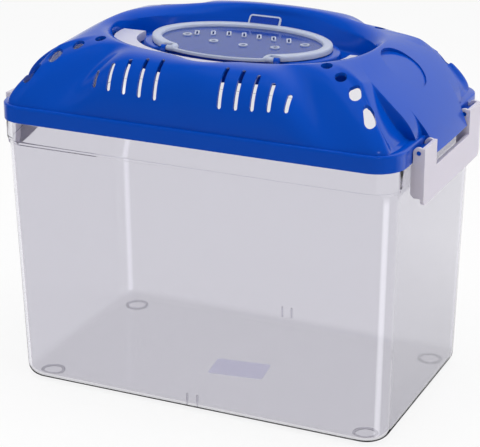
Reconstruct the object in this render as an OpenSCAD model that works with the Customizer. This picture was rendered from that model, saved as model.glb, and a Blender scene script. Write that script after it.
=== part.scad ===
// Plastic pet keeper: a clear tapered tank, a domed press-on lid with a feeding hatch,
// a fold-down carrying handle and a swinging latch at each end.
// Millimetres. The origin is under the middle of the tank, on the surface it stands on;
// +X runs along the tank, +Y to the back, +Z up.

/* [Tank] */
// Length of the tank just under its collar
tank_len = 294; // [240:1:360]
// Depth of the tank, front to back, just under its collar
tank_wid = 177.7; // [140:0.1:220]
// How much the tank narrows on each side from the collar to the base
tank_draft = 4; // [1:0.1:8]
// Height of the top of the tank's upstand
tank_h = 209; // [150:1:280]
// Thickness of the tank's walls
tank_wall = 2; // [1.4:0.1:3]
// Thickness of the tank's floor
floor_t = 2.4; // [1.6:0.1:4]
// Radius of the tank's upright corners
tank_corner_r = 18; // [10:1:30]
// Radius between the walls and the floor
base_fillet_r = 8; // [4:0.5:12]
// Height that the foot pads stand below the floor
foot_h = 1; // [0.5:0.1:3]
// Radius of a foot pad
foot_r = 9; // [6:0.5:12]
// Width of the raised ring round a foot pad
foot_ring = 2; // [1:0.25:4]
// Distance from a foot pad's middle to the tank's side at the base
foot_inset = 18; // [14:1:30]
// Width of the groove inside a foot pad's ring
pad_groove = 0.8; // [0.5:0.1:1.5]
// Depth of that groove
pad_sink = 0.5; // [0.2:0.1:0.8]
// Distance between the two ribs of a pair
rib_gap = 8; // [4:0.5:12]
// Width of a rib
rib_w = 1.4; // [0.8:0.1:2]
// Height of a rib
rib_h = 9; // [4:0.5:20]
// How far a rib stands out from the wall
rib_out = 0.8; // [0.4:0.1:1.5]

/* [Collar] */
// Height of the collar band round the tank's mouth
collar_h = 14.5; // [8:0.5:24]
// How far the collar stands out from the wall below it
collar_out = 1.75; // [1:0.05:4]
// Radius of the collar's lower edge
collar_edge_r = 1.5; // [0.5:0.1:3]
// Height of the thin bead under the collar
bead_h = 2; // [1:0.25:4]
// How far the bead stands out from the wall
bead_out = 0.6; // [0.3:0.1:1.5]
// Height that the upstand rises inside the lid's skirt
upstand_h = 8.3; // [5:0.1:14]

/* [Skirt] */
// Height of the lid's skirt
skirt_h = 12; // [8:0.5:20]
// How far the skirt stands out past the collar
skirt_out = 1.25; // [0:0.05:3]
// Thickness of the skirt
skirt_t = 2.3; // [1.6:0.1:3]
// Radius of the skirt's upright corners
skirt_corner_r = 21; // [12:1:34]
// Width of the rounded ledge between the skirt and the dome
ledge_w = 2; // [1:0.25:6]

/* [Dome] */
// Height of the dome's crest at the ends, above the skirt
dome_h = 46.5; // [30:0.5:70]
// How much higher the crest is in the middle of the back
back_arch = 5; // [0:0.5:16]
// How much lower the crest is in the middle of the front
front_dip = 4; // [0:0.5:6]
// Thickness of the dome's wall
dome_wall = 2; // [1.4:0.1:3]
// Squareness of the front panel's curve, where less is squarer
panel_curve = 0.8; // [0.6:0.05:1]
// Flatness of the valley's curve beside the panel
valley_curve = 1.75; // [1:0.05:2.2]
// Curve of the rounded ridge at each corner
ridge_curve = 1.38; // [1:0.01:1.6]
// Half the length of the bulged panel, front and back
panel_half = 86; // [60:1:110]
// Width of the valley between a panel and its ridges
valley_w = 16; // [10:1:24]
// Exponent of the crest's oval, where 2 is an ellipse
crest_power = 2.7; // [2:0.1:3.5]

/* [Cheek] */
// Half the width of an end cheek at its foot
cheek_half = 48; // [46:0.5:54]
// How much wider the cheek gets on each side above its foot
cheek_bow = 8; // [2:0.5:9]
// Radius of the cheek's curve in side view
cheek_r = 90; // [86:0.5:94]
// Distance from the middle of the lid to the cheek's axis
cheek_x = 72.5; // [69:0.5:75]
// Depth of the cheek's axis below the dome's foot
cheek_down = 40.5; // [38:0.5:43]
// How much the cheek's radius falls towards its edges
cheek_crown = 2.2; // [0:0.1:4]
// Height above the dome's foot at which the cheek is drawn in over a latch's arm
column_h = 19; // [12:0.5:26]
// Depth of the hollow between the cheek's edge and the corner ridge
scallop_d = 8; // [3:0.5:9]
// Share of the dome's section that the hollow takes
scallop_top = 0.7; // [0.5:0.02:0.8]
// Depth of the round flat on each cheek
disc_depth = 1; // [0.4:0.1:1.2]
// Diameter of the round flat
disc_d = 38; // [24:1:39]
// Slope of the cheek where the round flat lies
disc_slope = 33; // [32:1:38]

/* [Recess] */
// Half the length of the oval crest round the recess
crest_a = 103; // [90:1:120]
// Half the depth of the oval crest round the recess
crest_b = 62.5; // [54:0.5:74]
// Width of the rounded lip inside the crest
lip_w = 2.5; // [1:0.25:5]
// Depth of the moat's floor below the crest at the ends
moat_depth = 17.5; // [12:0.5:20]
// How far the back wall leans in between the crest and the floor
back_lean = 9; // [2:0.5:14]
// Depth of the finger scallop in the front of the recess, in plan
finger_d = 9; // [4:0.5:12]
// Half the width of the finger scallop
finger_half = 32; // [20:1:40]

/* [Seat] */
// Half the length of the raised seat that carries the hatch
seat_a = 73; // [60:0.5:80]
// Half the depth of the seat
seat_b = 46.5; // [36:0.5:54]
// Width of the seat's ring
seat_w = 10; // [5:0.5:16]
// Height of the seat above the moat's floor
seat_h = 8; // [6:0.5:10]
// Distance from the middle to the seat's straight front edge
seat_front = 32; // [30:0.5:33]

/* [Vents] */
// Number of slots in each half of a bulged panel
slot_n = 5; // [2:1:6]
// Width of a slot
slot_w = 3; // [2:0.1:4]
// Distance from the middle to the first slot
slot_first = 24; // [12:1:34]
// Distance between slots
slot_pitch = 11.8; // [8:0.1:15]
// Length of the first slot
slot_len = 29; // [15:1:34]
// Share of a slot's length that the last slot loses
slot_drop = 0.56; // [0:0.02:0.7]
// Height of the slots' lower ends above the dome's foot
slot_z = 17; // [10:1:22]
// Lean of the slots from upright
panel_lean = 26; // [16:1:36]
// Radius of the bulge that the slots follow in plan
panel_round = 296; // [220:1:400]
// Distance from the skirt's face in to the first slot's lower end
slot_back = 2.2; // [1:0.1:4]
// Number of holes along each corner ridge
hole_n = 4; // [1:1:5]
// Diameter of a hole
hole_d = 8; // [4:0.2:10]
// Distance from the middle of the end to the first hole, along X
hole_x = 85; // [70:1:95]
// Distance from the middle to the first hole, along Y
hole_y = 50; // [40:1:58]
// Spacing of the holes along X
hole_dx = 13.1; // [9:0.1:16]
// Spacing of the holes along Y
hole_dy = 7.8; // [5:0.1:10]
// How much longer than wide the last hole is, down the ridge
hole_long = 6; // [0:0.5:7]
// Direction in which the lower holes are drawn out, from the lid's length
hole_turn = 62; // [30:1:75]

/* [Hatch] */
// Half the length of the oval hatch
hatch_a = 67; // [54:0.5:74]
// Half the depth of the hatch
hatch_b = 44.5; // [34:0.5:52]
// Thickness of the hatch's plate
hatch_t = 1.8; // [1.2:0.1:3]
// Width of the rim round the hatch
hatch_rim_w = 4.5; // [2:0.25:7]
// Height of the rim above the plate
hatch_rim_h = 2; // [1:0.25:4]
// Distance from the middle to the hinge's axis
hinge_y = 36; // [28:0.5:40]
// Height of the hinge's axis above the seat
hinge_up = 1.9; // [1.6:0.1:3]
// Diameter of the hatch's hinge stubs
stub_d = 2.6; // [2:0.1:3.4]
// Length of a hinge stub
stub_len = 3.4; // [2:0.1:5]
// Radius of the knuckles that carry the stubs
knuckle_r = 2; // [1.8:0.05:2.2]
// Length of a knuckle
knuckle_len = 5; // [3:0.25:8]
// Radius of the lugs that hold the stubs
lug_r = 2.1; // [2:0.05:2.6]
// Number of short slots in the hatch
grille_n = 7; // [3:1:9]
// Distance between the hatch's slots
grille_pitch = 12; // [8:0.5:14]
// Width of the hatch's slots
grille_w = 2; // [1.2:0.1:3]
// Length of the longer slots
grille_long = 7; // [5:0.5:10]
// Length of the shorter slots
grille_short = 4.5; // [3:0.5:5]
// Diameter of the round holes in front of the slots
vent_d = 5; // [3:0.25:7]
// Width of the hatch's finger tab
tab_w = 25; // [14:1:40]
// Length of the finger tab
tab_len = 9; // [5:0.5:12]
// Slope of the finger tab
tab_slope = 52; // [30:1:70]
// Thickness of the finger tab
tab_t = 1.4; // [1:0.1:2]

/* [Handle] */
// Width of the handle's arms
handle_arm_w = 17.5; // [10:0.5:20]
// Width of the handle at its grip
grip_w = 10.5; // [7:0.25:12]
// Thickness of the handle
handle_t = 6; // [4:0.25:7]
// Height of the folded handle above the moat's floor
handle_up = 1.8; // [1:0.1:2.5]
// Distance from the middle to the pivots, towards the back
pivot_y = 6; // [0:0.5:12]
// Diameter of the handle's pivot stubs
pivot_d = 4.6; // [3:0.1:5.4]
// Length of a pivot stub
pivot_len = 4; // [2.5:0.25:5]
// Radius of the bosses that the stubs turn in
boss_r = 4.6; // [4:0.1:5.5]

/* [Latch] */
// Half the width of a latch
latch_half = 60; // [48:0.5:62]
// Width of a latch's arm
arm_w = 24.5; // [16:0.5:30]
// Thickness of a latch's face
latch_t = 2.5; // [1.8:0.1:3]
// Thickness of a latch's side flanges
flange_t = 2; // [1.4:0.1:3]
// Height of the plate that joins the arms
plate_h = 22; // [12:0.5:24]
// Distance from the pivot's axis down to the latch's lower edge
latch_drop = 36.3; // [33:0.1:42]
// Diameter of the lid's pivot stubs
latch_pin_d = 3.2; // [2.4:0.1:3.6]
// Distance from the skirt's end to the pivot's axis
latch_axis_out = 4.3; // [4:0.1:6]
// Height of the pivot's axis above the skirt's lower edge
latch_axis_up = 7.3; // [5:0.1:9]
// Radius of the latch's corners
latch_corner_r = 5; // [2:0.5:7]
// Depth of the snap bead inside the latch
snap_h = 2.6; // [1:0.2:4]
// Radius of the eye round a latch's pivot
eye_r = 3.9; // [3.2:0.1:3.9]
// Gap from the pivot's axis to the inside of the latch's face
face_gap = 1.9; // [1.9:0.1:2.4]
// Height of the web that carries a latch's pivot bar
web_h = 4.5; // [3:0.25:6]

/* [Fits] */
// Gap between the lid's skirt and the collar's shoulder
seat_gap = 0.3; // [0.1:0.05:0.6]
// Gap round the upstand inside the skirt
skirt_gap = 0.5; // [0.3:0.05:1]
// Side gap beside a hinged piece
side_gap = 0.5; // [0.3:0.05:1]
// Radial clearance of a pivot in its bore
bore_gap = 0.05; // [0.02:0.01:0.1]

/* [Hidden] */

lid_blue = [0.0, 0.27, 0.66];
clear_grey = [0.82, 0.81, 0.84, 0.6];
clear_tint = [0.72, 0.79, 0.9, 0.7];
handle_white = [0.9, 0.9, 0.93];
latch_white = [0.83, 0.81, 0.86];

// Heights
shoulder_z = tank_h - upstand_h;
collar_z = shoulder_z - collar_h;
skirt_z = shoulder_z + seat_gap;
dome_z = skirt_z + skirt_h;
crest_z = dome_z + dome_h;
moat_z = crest_z - moat_depth;
seat_z = moat_z + seat_h;

// Plan sizes
collar_len = tank_len + 2 * collar_out;
collar_wid = tank_wid + 2 * collar_out;
skirt_len = collar_len + 2 * skirt_out;
skirt_wid = collar_wid + 2 * skirt_out;

// Stations round the lid: along half an end, round a corner, along half a side. They stand
// close together at the tongue's side and at the cheek's edge
tongue_half = latch_half - arm_w - side_gap;
end_len = skirt_wid / 2 - skirt_corner_r;
step_w = 0.8;
edge_w = 1.6;
tongue_n = 3;
column_n = 2;
scallop_n = 3;
end_stops = concat(
    [for (k = [0:tongue_n]) (tongue_half - step_w - dome_wall) * k / tongue_n],
    [tongue_half - dome_wall, tongue_half - step_w, tongue_half],
    [
        for (k = [1:column_n])
            tongue_half + (cheek_half - dome_wall - tongue_half) * k / column_n
    ],
    [cheek_half, cheek_half + edge_w],
    [
        for (k = [1:scallop_n])
            cheek_half + edge_w + (end_len - cheek_half - edge_w) * k / scallop_n
    ]
);
end_n = len(end_stops) - 1;
arc_n = 7;
side_n = 14;
quarter_n = end_n + arc_n + side_n;
station_n = 4 * quarter_n;
dome_n = 10;
inner_n = 7;
round_fn = 64;
small_fn = 32;
cut = 0.5;

// Where the flow lines of the dome reach the crest
end_share = 0.53;
side_share = 0.68;

function mix(a, b, t) = a + (b - a) * t;
function clamp(t) = min(1, max(0, t));
function ease(a, b, v) = let (t = clamp((v - a) / (b - a))) t * t * (3 - 2 * t);
function hump(middle, half, v) = let (t = clamp(abs(v - middle) / half)) pow(1 - t * t, 2);

// A station's place: its quarter's mirror signs and its number within the quarter
function quarter_of(i) = floor(i / quarter_n) % 4;
function step_of(i) =
    let (q = quarter_of(i), k = i % quarter_n)
    (q % 2 == 0) ? k : quarter_n - k;
function sign_x(i) = let (q = quarter_of(i)) (q == 0 || q == 3) ? 1 : -1;
function sign_y(i) = quarter_of(i) < 2 ? 1 : -1;

// Rounded rectangle in the first quarter, at step k
function corner_turn(k) = 90 * clamp((k - end_n) / arc_n);
function box_quarter(len, wid, r, k) =
    let (straight_y = wid / 2 - r, straight_x = len / 2 - r, turn = corner_turn(k))
    [
        straight_x * (1 - clamp((k - end_n - arc_n) / side_n)) + r * cos(turn),
        straight_y * end_stops[min(k, end_n)] / end_len + r * sin(turn)
    ];
function box_point(len, wid, r, i) =
    let (p = box_quarter(len, wid, r, step_of(i)))
    [sign_x(i) * p[0], sign_y(i) * p[1]];

// Oval in the first quarter, reached by the same flow lines
end_turn = asin(end_share);
side_turn = acos(side_share);
function oval_turn(k) =
    k <= end_n ? asin(end_share * end_stops[k] / end_len)
    : k <= end_n + arc_n ? mix(end_turn, side_turn, (k - end_n) / arc_n)
    : acos(side_share * (quarter_n - k) / side_n);
function oval_point(a, b, i, power = 2) =
    let (turn = oval_turn(step_of(i)))
    [
        sign_x(i) * a * pow(cos(turn), 2 / power),
        sign_y(i) * b * pow(sin(turn), 2 / power)
    ];

// Crest height: arched at the back, dipped at the front
arch_power = 7;
function crest_at(i) =
    let (s = sin(oval_turn(step_of(i))) * sign_y(i))
    crest_z + (s > 0 ? back_arch * pow(s, arch_power) : -front_dip * pow(s, 2));

// How far a station lies along the foot from the middle of the end, to the side's start
corner_len = (skirt_corner_r - ledge_w) * PI / 2;
function along(i) =
    let (k = step_of(i))
    k <= end_n ? end_stops[k] : end_len + corner_len * clamp((k - end_n) / arc_n);

// Curve of the dome's section at a station: panel, valley or ridge
panel_edge = 1.1;
valley_x = panel_half + valley_w;
ridge_x = skirt_len / 2 - skirt_corner_r;
function side_curve(x) =
    x < panel_half ? mix(panel_curve, panel_edge, pow(x / panel_half, 3))
    : x < valley_x ? mix(panel_edge, valley_curve, ease(panel_half, valley_x, x))
    : mix(valley_curve, ridge_curve, ease(valley_x, ridge_x, x));
function section_curve(i) = side_curve(abs(box_point(skirt_len, skirt_wid, skirt_corner_r, i)[0]));

// Depth of the finger scallop in the front of the crest and of the recess
function finger_at(x, y) = y < 0 ? finger_d * hump(0, finger_half, x) : 0;

// The cheek's curve at a station, as [x, z] at share t from the foot to the crest. Beside
// the tongue its foot is drawn in to the ledge
cheek_z = dome_z - cheek_down;
foot_len = skirt_len - 2 * ledge_w;
foot_wid = skirt_wid - 2 * ledge_w;
column_turn = acos((column_h + cheek_down) / cheek_r);
crest_from = 0.68;
crown_power = 2.5;
function cheek_radius(i) = cheek_r - cheek_crown * pow(min(1, along(i) / cheek_half), crown_power);
function cheek_section(i, t, side, rim_x, foot_x) =
    let (
        r = cheek_radius(i),
        column = ease(tongue_half - side - step_w, tongue_half - side, along(i)),
        reach = norm([foot_x - cheek_x, cheek_down]),
        low = mix(acos(cheek_down / r), atan2(foot_x - cheek_x, cheek_down), column),
        high = asin((rim_x - cheek_x) / r),
        turn = mix(low, high, t),
        drawn = (r - reach) * column * pow(max(0, turn - column_turn) / (low - column_turn), 2),
        top = cheek_z + r * cos(high)
    )
    [
        cheek_x + (r - drawn) * sin(turn),
        cheek_z + (r - drawn) * cos(turn) + (crest_at(i) - top) * ease(crest_from, 1, t)
    ];

// How much a station belongs to the round part, how straight its flow line runs, how far
// that line bows out, and how deep it lies in the hollow beside the cheek
round_from = end_len - 4;
round_to = end_len + 0.55 * corner_len;
path_power = 3;
path_ease = 0.6;
hollow_from = end_len - 6;
hollow_to = end_len + 0.38 * corner_len;
hollow_peak = 0.75;
hollow_turn = 50;
bow_to = end_len + corner_len;
function roundness(i) = ease(round_from, round_to, along(i));
function path_bend(i) =
    mix(path_power, 1, pow(ease(cheek_half + edge_w, round_to, along(i)), path_ease));
function bow(i, t) =
    let (a = along(i))
    cheek_bow * ease(0, cheek_half, a) * (1 - ease(cheek_half + edge_w, bow_to, a)) * sin(180 * t);
function hollow(i, t, side) =
    let (a = along(i), share = min(1, t / scallop_top))
    scallop_d * ease(cheek_half - side, cheek_half - side + edge_w, a)
    * (1 - ease(hollow_from, hollow_to, a)) * sin(180 * pow(share, hollow_peak));

// A point of the dome at share t from the foot to the crest, outside (side = 0) or with
// the steps at the tongue and at the cheek's edge moved in by the wall
function dome_point(i, t, side = 0) =
    let (
        e = section_curve(i),
        foot = box_point(foot_len, foot_wid, skirt_corner_r - ledge_w, i),
        oval = oval_point(crest_a, crest_b, i, crest_power),
        rim = oval - [0, finger_at(oval[0], oval[1])],
        w = roundness(i),
        cheek = cheek_section(i, t, side, abs(rim[0]), abs(foot[0])),
        p = 1 - pow(cos(90 * t), e),
        x = mix(cheek[0], mix(abs(foot[0]), abs(rim[0]), p), w),
        z = mix(cheek[1], mix(dome_z, crest_at(i), pow(sin(90 * t), e)), w),
        share = w < 1 ? clamp((abs(foot[0]) - x) / (abs(foot[0]) - abs(rim[0]))) : p,
        y = mix(abs(foot[1]), abs(rim[1]), pow(share, path_bend(i))) + bow(i, t),
        deep = hollow(i, t, side)
    )
    w < 1 ? [sign_x(i) * (x - deep * sin(hollow_turn)), sign_y(i) * y, z - deep * cos(hollow_turn)]
    : [mix(foot[0], rim[0], p), mix(foot[1], rim[1], p) + sign_y(i) * bow(i, t), z];
function dome_ring(t) = [for (i = [0:station_n - 1]) dome_point(i, t)];

// The ring inside it, a wall's thickness in and down
function dome_inner(i, t) =
    let (turn = corner_turn(step_of(i)), in = dome_wall * cos(90 * t))
    dome_point(i, t, dome_wall)
    - [sign_x(i) * in * cos(turn), sign_y(i) * in * sin(turn), dome_wall * sin(90 * t)];
function dome_inner_ring(t) = [for (i = [0:station_n - 1]) dome_inner(i, t)];

// The skirt's rings follow the cheek's curve down the tongue
function skirt_ring(z, inset, in) = [
    for (i = [0:station_n - 1])
        let (
            p = box_point(skirt_len - 2 * inset, skirt_wid - 2 * inset, skirt_corner_r - inset, i),
            column = ease(tongue_half - in - step_w, tongue_half - in, along(i)),
            r = cheek_radius(i) - in,
            roll = cheek_x + sqrt(r * r - (z - cheek_z) * (z - cheek_z))
        )
        [sign_x(i) * mix(roll, abs(p[0]), column), p[1], z]
];

// The bowl of the recess: the lip, the wall and the floor
bowl_in = 1;
bowl_mid = 0.45;
lip_fall = 0.6 * lip_w;
seat_slope = 0.35;
seat_foot = 0.6;
function bowl_ring(inset, down, lean) = [
    for (i = [0:station_n - 1])
        let (
            p = oval_point(crest_a - inset, crest_b - inset, i),
            back = p[1] > 0 ? lean * pow(sin(oval_turn(step_of(i))), 2) : 0,
            z = mix(crest_at(i) - lip_fall, moat_z, down)
        )
        [p[0], p[1] - back - finger_at(p[0], p[1]), z]
];
function seat_ring(inset, z) = [
    for (i = [0:station_n - 1])
        let (p = oval_point(seat_a - inset, seat_b - inset, i))
        [p[0], max(p[1], inset * seat_slope - seat_front), z]
];

// Joins rings of equal length into faces; the last ring meets the first again
function band_faces(a, b, n) = [
    for (i = [0:n - 1])
        let (j = (i + 1) % n)
        each [
            [a * n + i, b * n + i, b * n + j],
            [a * n + i, b * n + j, a * n + j]
        ]
];
function loop_faces(rings, n) =
    [for (r = [0:rings - 1]) each band_faces(r, (r + 1) % rings, n)];
function flat_list(rings) = [for (r = rings) each r];

// The ledge's rounded edge, and the turns at which the inner wall starts and ends
ledge_round = 0.6 * ledge_w;
ledge_soft = 0.2;
inner_top = 0.93;
inner_low = 0.05;
inner_lip = 0.2;
lid_rings = concat(
    [
        skirt_ring(skirt_z, 0, 0),
        skirt_ring(dome_z - ledge_round, 0, 0),
        skirt_ring(dome_z - ledge_soft, ledge_round / 2, 0)
    ],
    [for (k = [0:dome_n]) dome_ring(k / dome_n)],
    [
        bowl_ring(lip_w, 0, 0),
        bowl_ring(lip_w + bowl_in / 2, bowl_mid, back_lean / 2),
        bowl_ring(lip_w + bowl_in, 1, back_lean),
        seat_ring(-seat_foot, moat_z),
        seat_ring(0, seat_z),
        seat_ring(seat_w, seat_z),
        seat_ring(seat_w, seat_z - dome_wall),
        seat_ring(dome_wall, seat_z - dome_wall),
        seat_ring(dome_wall, moat_z - dome_wall),
        bowl_ring(lip_w + bowl_in - dome_wall, 1 + dome_wall / moat_depth, back_lean),
        bowl_ring(lip_w + bowl_in / 2 - dome_wall, bowl_mid, back_lean / 2),
        bowl_ring(inner_lip, inner_lip / 2, 0)
    ],
    [for (k = [1:inner_n]) dome_inner_ring(mix(inner_top, inner_low, k / inner_n))],
    [
        skirt_ring(dome_z - dome_wall, skirt_t, dome_wall),
        skirt_ring(skirt_z, skirt_t, dome_wall)
    ]
);

module lid_shell() {
    polyhedron(flat_list(lid_rings), loop_faces(len(lid_rings), station_n), convexity = 8);
}

// The clear tank: rings from the middle of the floor's underside, up outside and down inside
tank_corner_n = 6;
tank_ring_n = 4 * (tank_corner_n + 1);
fillet_n = 4;
edge_round = 0.4;
edge_share = 0.13;
upstand_x = skirt_len / 2 - skirt_t - skirt_gap;
upstand_y = skirt_wid / 2 - skirt_t - skirt_gap;
upstand_r = skirt_corner_r - skirt_t - skirt_gap;
inner_fillet_r = base_fillet_r - tank_wall;
floor_z = foot_h + floor_t;

function tank_ring(half_x, half_y, r, z) = [
    for (q = [0:3])
        let (sx = (q == 0 || q == 3) ? 1 : -1, sy = q < 2 ? 1 : -1)
        for (k = [0:tank_corner_n])
            let (turn = 90 * (q + k / tank_corner_n))
            [sx * (half_x - r) + r * cos(turn), sy * (half_y - r) + r * sin(turn), z]
];
// The taper of the wall: how far it stands in from its size under the collar
function draft_at(z) = tank_draft * clamp((collar_z - z) / (collar_z - foot_h));
function wall_ring(z, inset) =
    let (in = draft_at(z) + inset)
    tank_ring(tank_len / 2 - in, tank_wid / 2 - in, tank_corner_r - inset, z);
function upstand_ring(z, inset) =
    tank_ring(upstand_x - inset, upstand_y - inset, upstand_r - inset, z);
// A quarter round between a wall and the floor, from the floor up
function fillet_rings(r, z, inset) = [
    for (k = [0:fillet_n])
        let (turn = 90 * k / fillet_n)
        wall_ring(z + r * (1 - cos(turn)), inset + r * (1 - sin(turn)))
];
tank_rings = concat(
    fillet_rings(base_fillet_r, foot_h, 0),
    [
        wall_ring(collar_z - bead_h, 0),
        wall_ring(collar_z - bead_h + bead_out, -bead_out),
        wall_ring(collar_z, -bead_out),
        wall_ring(collar_z + collar_edge_r * edge_share, collar_edge_r / 2 - collar_out),
        wall_ring(collar_z + collar_edge_r / 2, collar_edge_r * edge_share - collar_out),
        wall_ring(collar_z + collar_edge_r, -collar_out),
        wall_ring(shoulder_z - edge_round, -collar_out),
        wall_ring(shoulder_z, edge_round - collar_out),
        upstand_ring(shoulder_z, 0),
        upstand_ring(tank_h - edge_round, 0),
        upstand_ring(tank_h, edge_round),
        upstand_ring(tank_h, tank_wall - edge_round),
        upstand_ring(tank_h - edge_round, tank_wall),
        upstand_ring(shoulder_z, tank_wall),
        wall_ring(collar_z, tank_wall)
    ],
    [for (k = [fillet_n:-1:0]) fillet_rings(inner_fillet_r, floor_z, tank_wall)[k]]
);
module tank_shell() {
    last = len(tank_rings) - 1;
    faces = concat(
        [[for (i = [0:tank_ring_n - 1]) i]],
        [for (r = [0:last - 1]) each band_faces(r, r + 1, tank_ring_n)],
        [[for (i = [tank_ring_n - 1:-1:0]) last * tank_ring_n + i]]
    );
    polyhedron(flat_list(tank_rings), faces, convexity = 4);
}

// A round foot pad with a groove inside its rim
foot_x = tank_len / 2 - tank_draft - foot_inset;
foot_y = tank_wid / 2 - tank_draft - foot_inset;
module foot_pad() {
    difference() {
        cylinder(r = foot_r, h = foot_h + floor_t / 2, $fn = round_fn);
        translate([0, 0, -cut])
            difference() {
                cylinder(r = foot_r - foot_ring + pad_groove, h = cut + pad_sink, $fn = round_fn);
                translate([0, 0, -cut])
                    cylinder(r = foot_r - foot_ring, h = 3 * cut + pad_sink, $fn = round_fn);
            }
    }
}
// A pair of short ribs low on each long wall
rib_z = foot_h + 0.6 * base_fillet_r;
module rib_pair() {
    for (side = [-1, 1])
        translate([side * rib_gap / 2 - rib_w / 2, -rib_out, 0])
            cube([rib_w, rib_out + tank_wall / 2, rib_h]);
}
module tank() {
    color(clear_grey) {
        union() {
            tank_shell();
            for (sx = [-1, 1], sy = [-1, 1])
                translate([sx * foot_x, sy * foot_y, 0]) foot_pad();
            for (turn = [0, 180])
                rotate([0, 0, turn])
                    translate([0, tank_draft - tank_wid / 2, rib_z]) rib_pair();
        }
    }
}

// The shallow round flat, sunk below the cheek's curve, and the wall behind it
module disc_post(d) {
    translate([cheek_x, 0, cheek_z])
        rotate([0, disc_slope, 0]) cylinder(d = d, h = cheek_r + 4 * disc_depth, $fn = round_fn);
}
module disc_roll(r) {
    translate([cheek_x, disc_d, cheek_z])
        rotate([90, 0, 0]) cylinder(r = r, h = 2 * disc_d, $fn = 2 * round_fn);
}
module disc_cut() {
    difference() {
        disc_post(disc_d);
        disc_roll(cheek_r - disc_depth);
    }
}
module disc_pad() {
    difference() {
        intersection() {
            disc_post(disc_d + 2 * disc_depth);
            disc_roll(cheek_r - disc_depth / 2);
        }
        disc_roll(cheek_r - disc_depth - dome_wall);
    }
}

// Slots that lean back with the bulged panels
panel_y = skirt_wid / 2;
slot_deep = 9;
function slot_x(k) = slot_first + slot_pitch * k;
function slot_long(k) = slot_len * (1 - slot_drop * pow(k / max(1, slot_n - 1), 2));
module slot_cut(x, long) {
    translate([x, slot_back + x * x / (2 * panel_round) - panel_y, dome_z + slot_z])
        rotate([90 - panel_lean, 0, 0])
            translate([0, 0, -slot_deep])
                linear_extrude(2 * slot_deep) {
                    translate([-slot_w / 2, slot_w / 2]) square([slot_w, long - slot_w]);
                    translate([0, slot_w / 2]) circle(d = slot_w, $fn = small_fn);
                    translate([0, long - slot_w / 2]) circle(d = slot_w, $fn = small_fn);
                }
}
module panel_slots() {
    for (k = [0:slot_n - 1], side = [-1, 1]) slot_cut(side * slot_x(k), slot_long(k));
}
// Holes drawn straight down through the corner ridges, longer where the ridge falls away
hole_drop = 24;
hole_low = moat_z - hole_drop;
module ridge_holes() {
    for (k = [0:hole_n - 1])
        let (long = hole_long * pow(k / max(1, hole_n - 1), 2))
        translate([hole_x + k * hole_dx, hole_y + k * hole_dy, hole_low])
            rotate([0, 0, hole_turn])
                linear_extrude(crest_z - hole_low + back_arch) {
                    circle(d = hole_d, $fn = small_fn);
                    translate([long, 0]) circle(d = hole_d, $fn = small_fn);
                    translate([0, -hole_d / 2]) square([long + cut / 10, hole_d]);
                }
}

// Pivots for a latch: a round bar along the end, carried by a web from the skirt
latch_x = skirt_len / 2 + latch_axis_out;
latch_z = skirt_z + latch_axis_up;
flange_in = latch_half - arm_w;
bar_short = 0.4;
web_out = 1;
module latch_bar() {
    translate([latch_x, latch_half - bar_short, latch_z])
        rotate([90, 0, 0])
            cylinder(d = latch_pin_d, h = arm_w - 2 * bar_short, $fn = small_fn);
    translate([skirt_len / 2 - skirt_t / 2, flange_in + flange_t + side_gap, latch_z - web_h])
        cube([latch_axis_out + skirt_t / 2 + web_out, arm_w - 2 * flange_t - 2 * side_gap, web_h]);
}

// Lugs that hold the hatch's hinge stubs, standing on the moat's floor beside the seat
hinge_z = seat_z + hinge_up;
knuckle_x = hatch_a * sqrt(1 - pow(hinge_y / hatch_b, 2));
knuckle_past = 1.2;
knuckle_in = 1;
stub_x = knuckle_x + knuckle_past;
lug_x = stub_x + side_gap;
lug_w = stub_len;
module hinge_lug() {
    difference() {
        union() {
            translate([lug_x, -hinge_y, hinge_z])
                rotate([0, 90, 0]) cylinder(r = lug_r, h = lug_w, $fn = small_fn);
            translate([lug_x, -hinge_y - lug_r, moat_z - dome_wall / 2])
                cube([lug_w, 2 * lug_r, hinge_z - moat_z + dome_wall / 2]);
        }
        translate([lug_x - cut, -hinge_y, hinge_z])
            rotate([0, 90, 0])
                cylinder(r = stub_d / 2 + bore_gap, h = lug_w + 2 * cut, $fn = small_fn);
    }
}

// Bosses behind the bowl's ends, bored for the handle's pivot stubs
handle_gap = 2.4;
handle_out_x = crest_a - lip_w - bowl_in - handle_gap;
pivot_z = moat_z + handle_up + handle_t / 2;
boss_len = 6;
module pivot_boss() {
    translate([handle_out_x + side_gap, pivot_y, pivot_z])
        rotate([0, 90, 0]) cylinder(r = boss_r, h = boss_len, $fn = small_fn);
}
module pivot_bore() {
    translate([handle_out_x - cut, pivot_y, pivot_z])
        rotate([0, 90, 0])
            cylinder(r = pivot_d / 2 + bore_gap, h = side_gap + pivot_len + cut, $fn = small_fn);
}

module lid() {
    color(lid_blue) {
        difference() {
            union() {
                lid_shell();
                for (side = [0, 1]) {
                    mirror([side, 0, 0]) {
                        disc_pad();
                        hinge_lug();
                        pivot_boss();
                        latch_bar();
                        mirror([0, 1, 0]) latch_bar();
                    }
                }
            }
            for (side = [0, 1]) {
                mirror([side, 0, 0]) {
                    disc_cut();
                    pivot_bore();
                    ridge_holes();
                    mirror([0, 1, 0]) ridge_holes();
                }
                mirror([0, side, 0]) panel_slots();
            }
        }
    }
}

// Oval outlines for the flat pieces
oval_n = 72;
function oval_arc(a, b, from, to, n) =
    [for (k = [0:n]) let (turn = mix(from, to, k / n)) [a * cos(turn), b * sin(turn)]];
module oval(a, b) {
    polygon(oval_arc(a, b, 0, 360 - 360 / oval_n, oval_n - 1));
}

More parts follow.
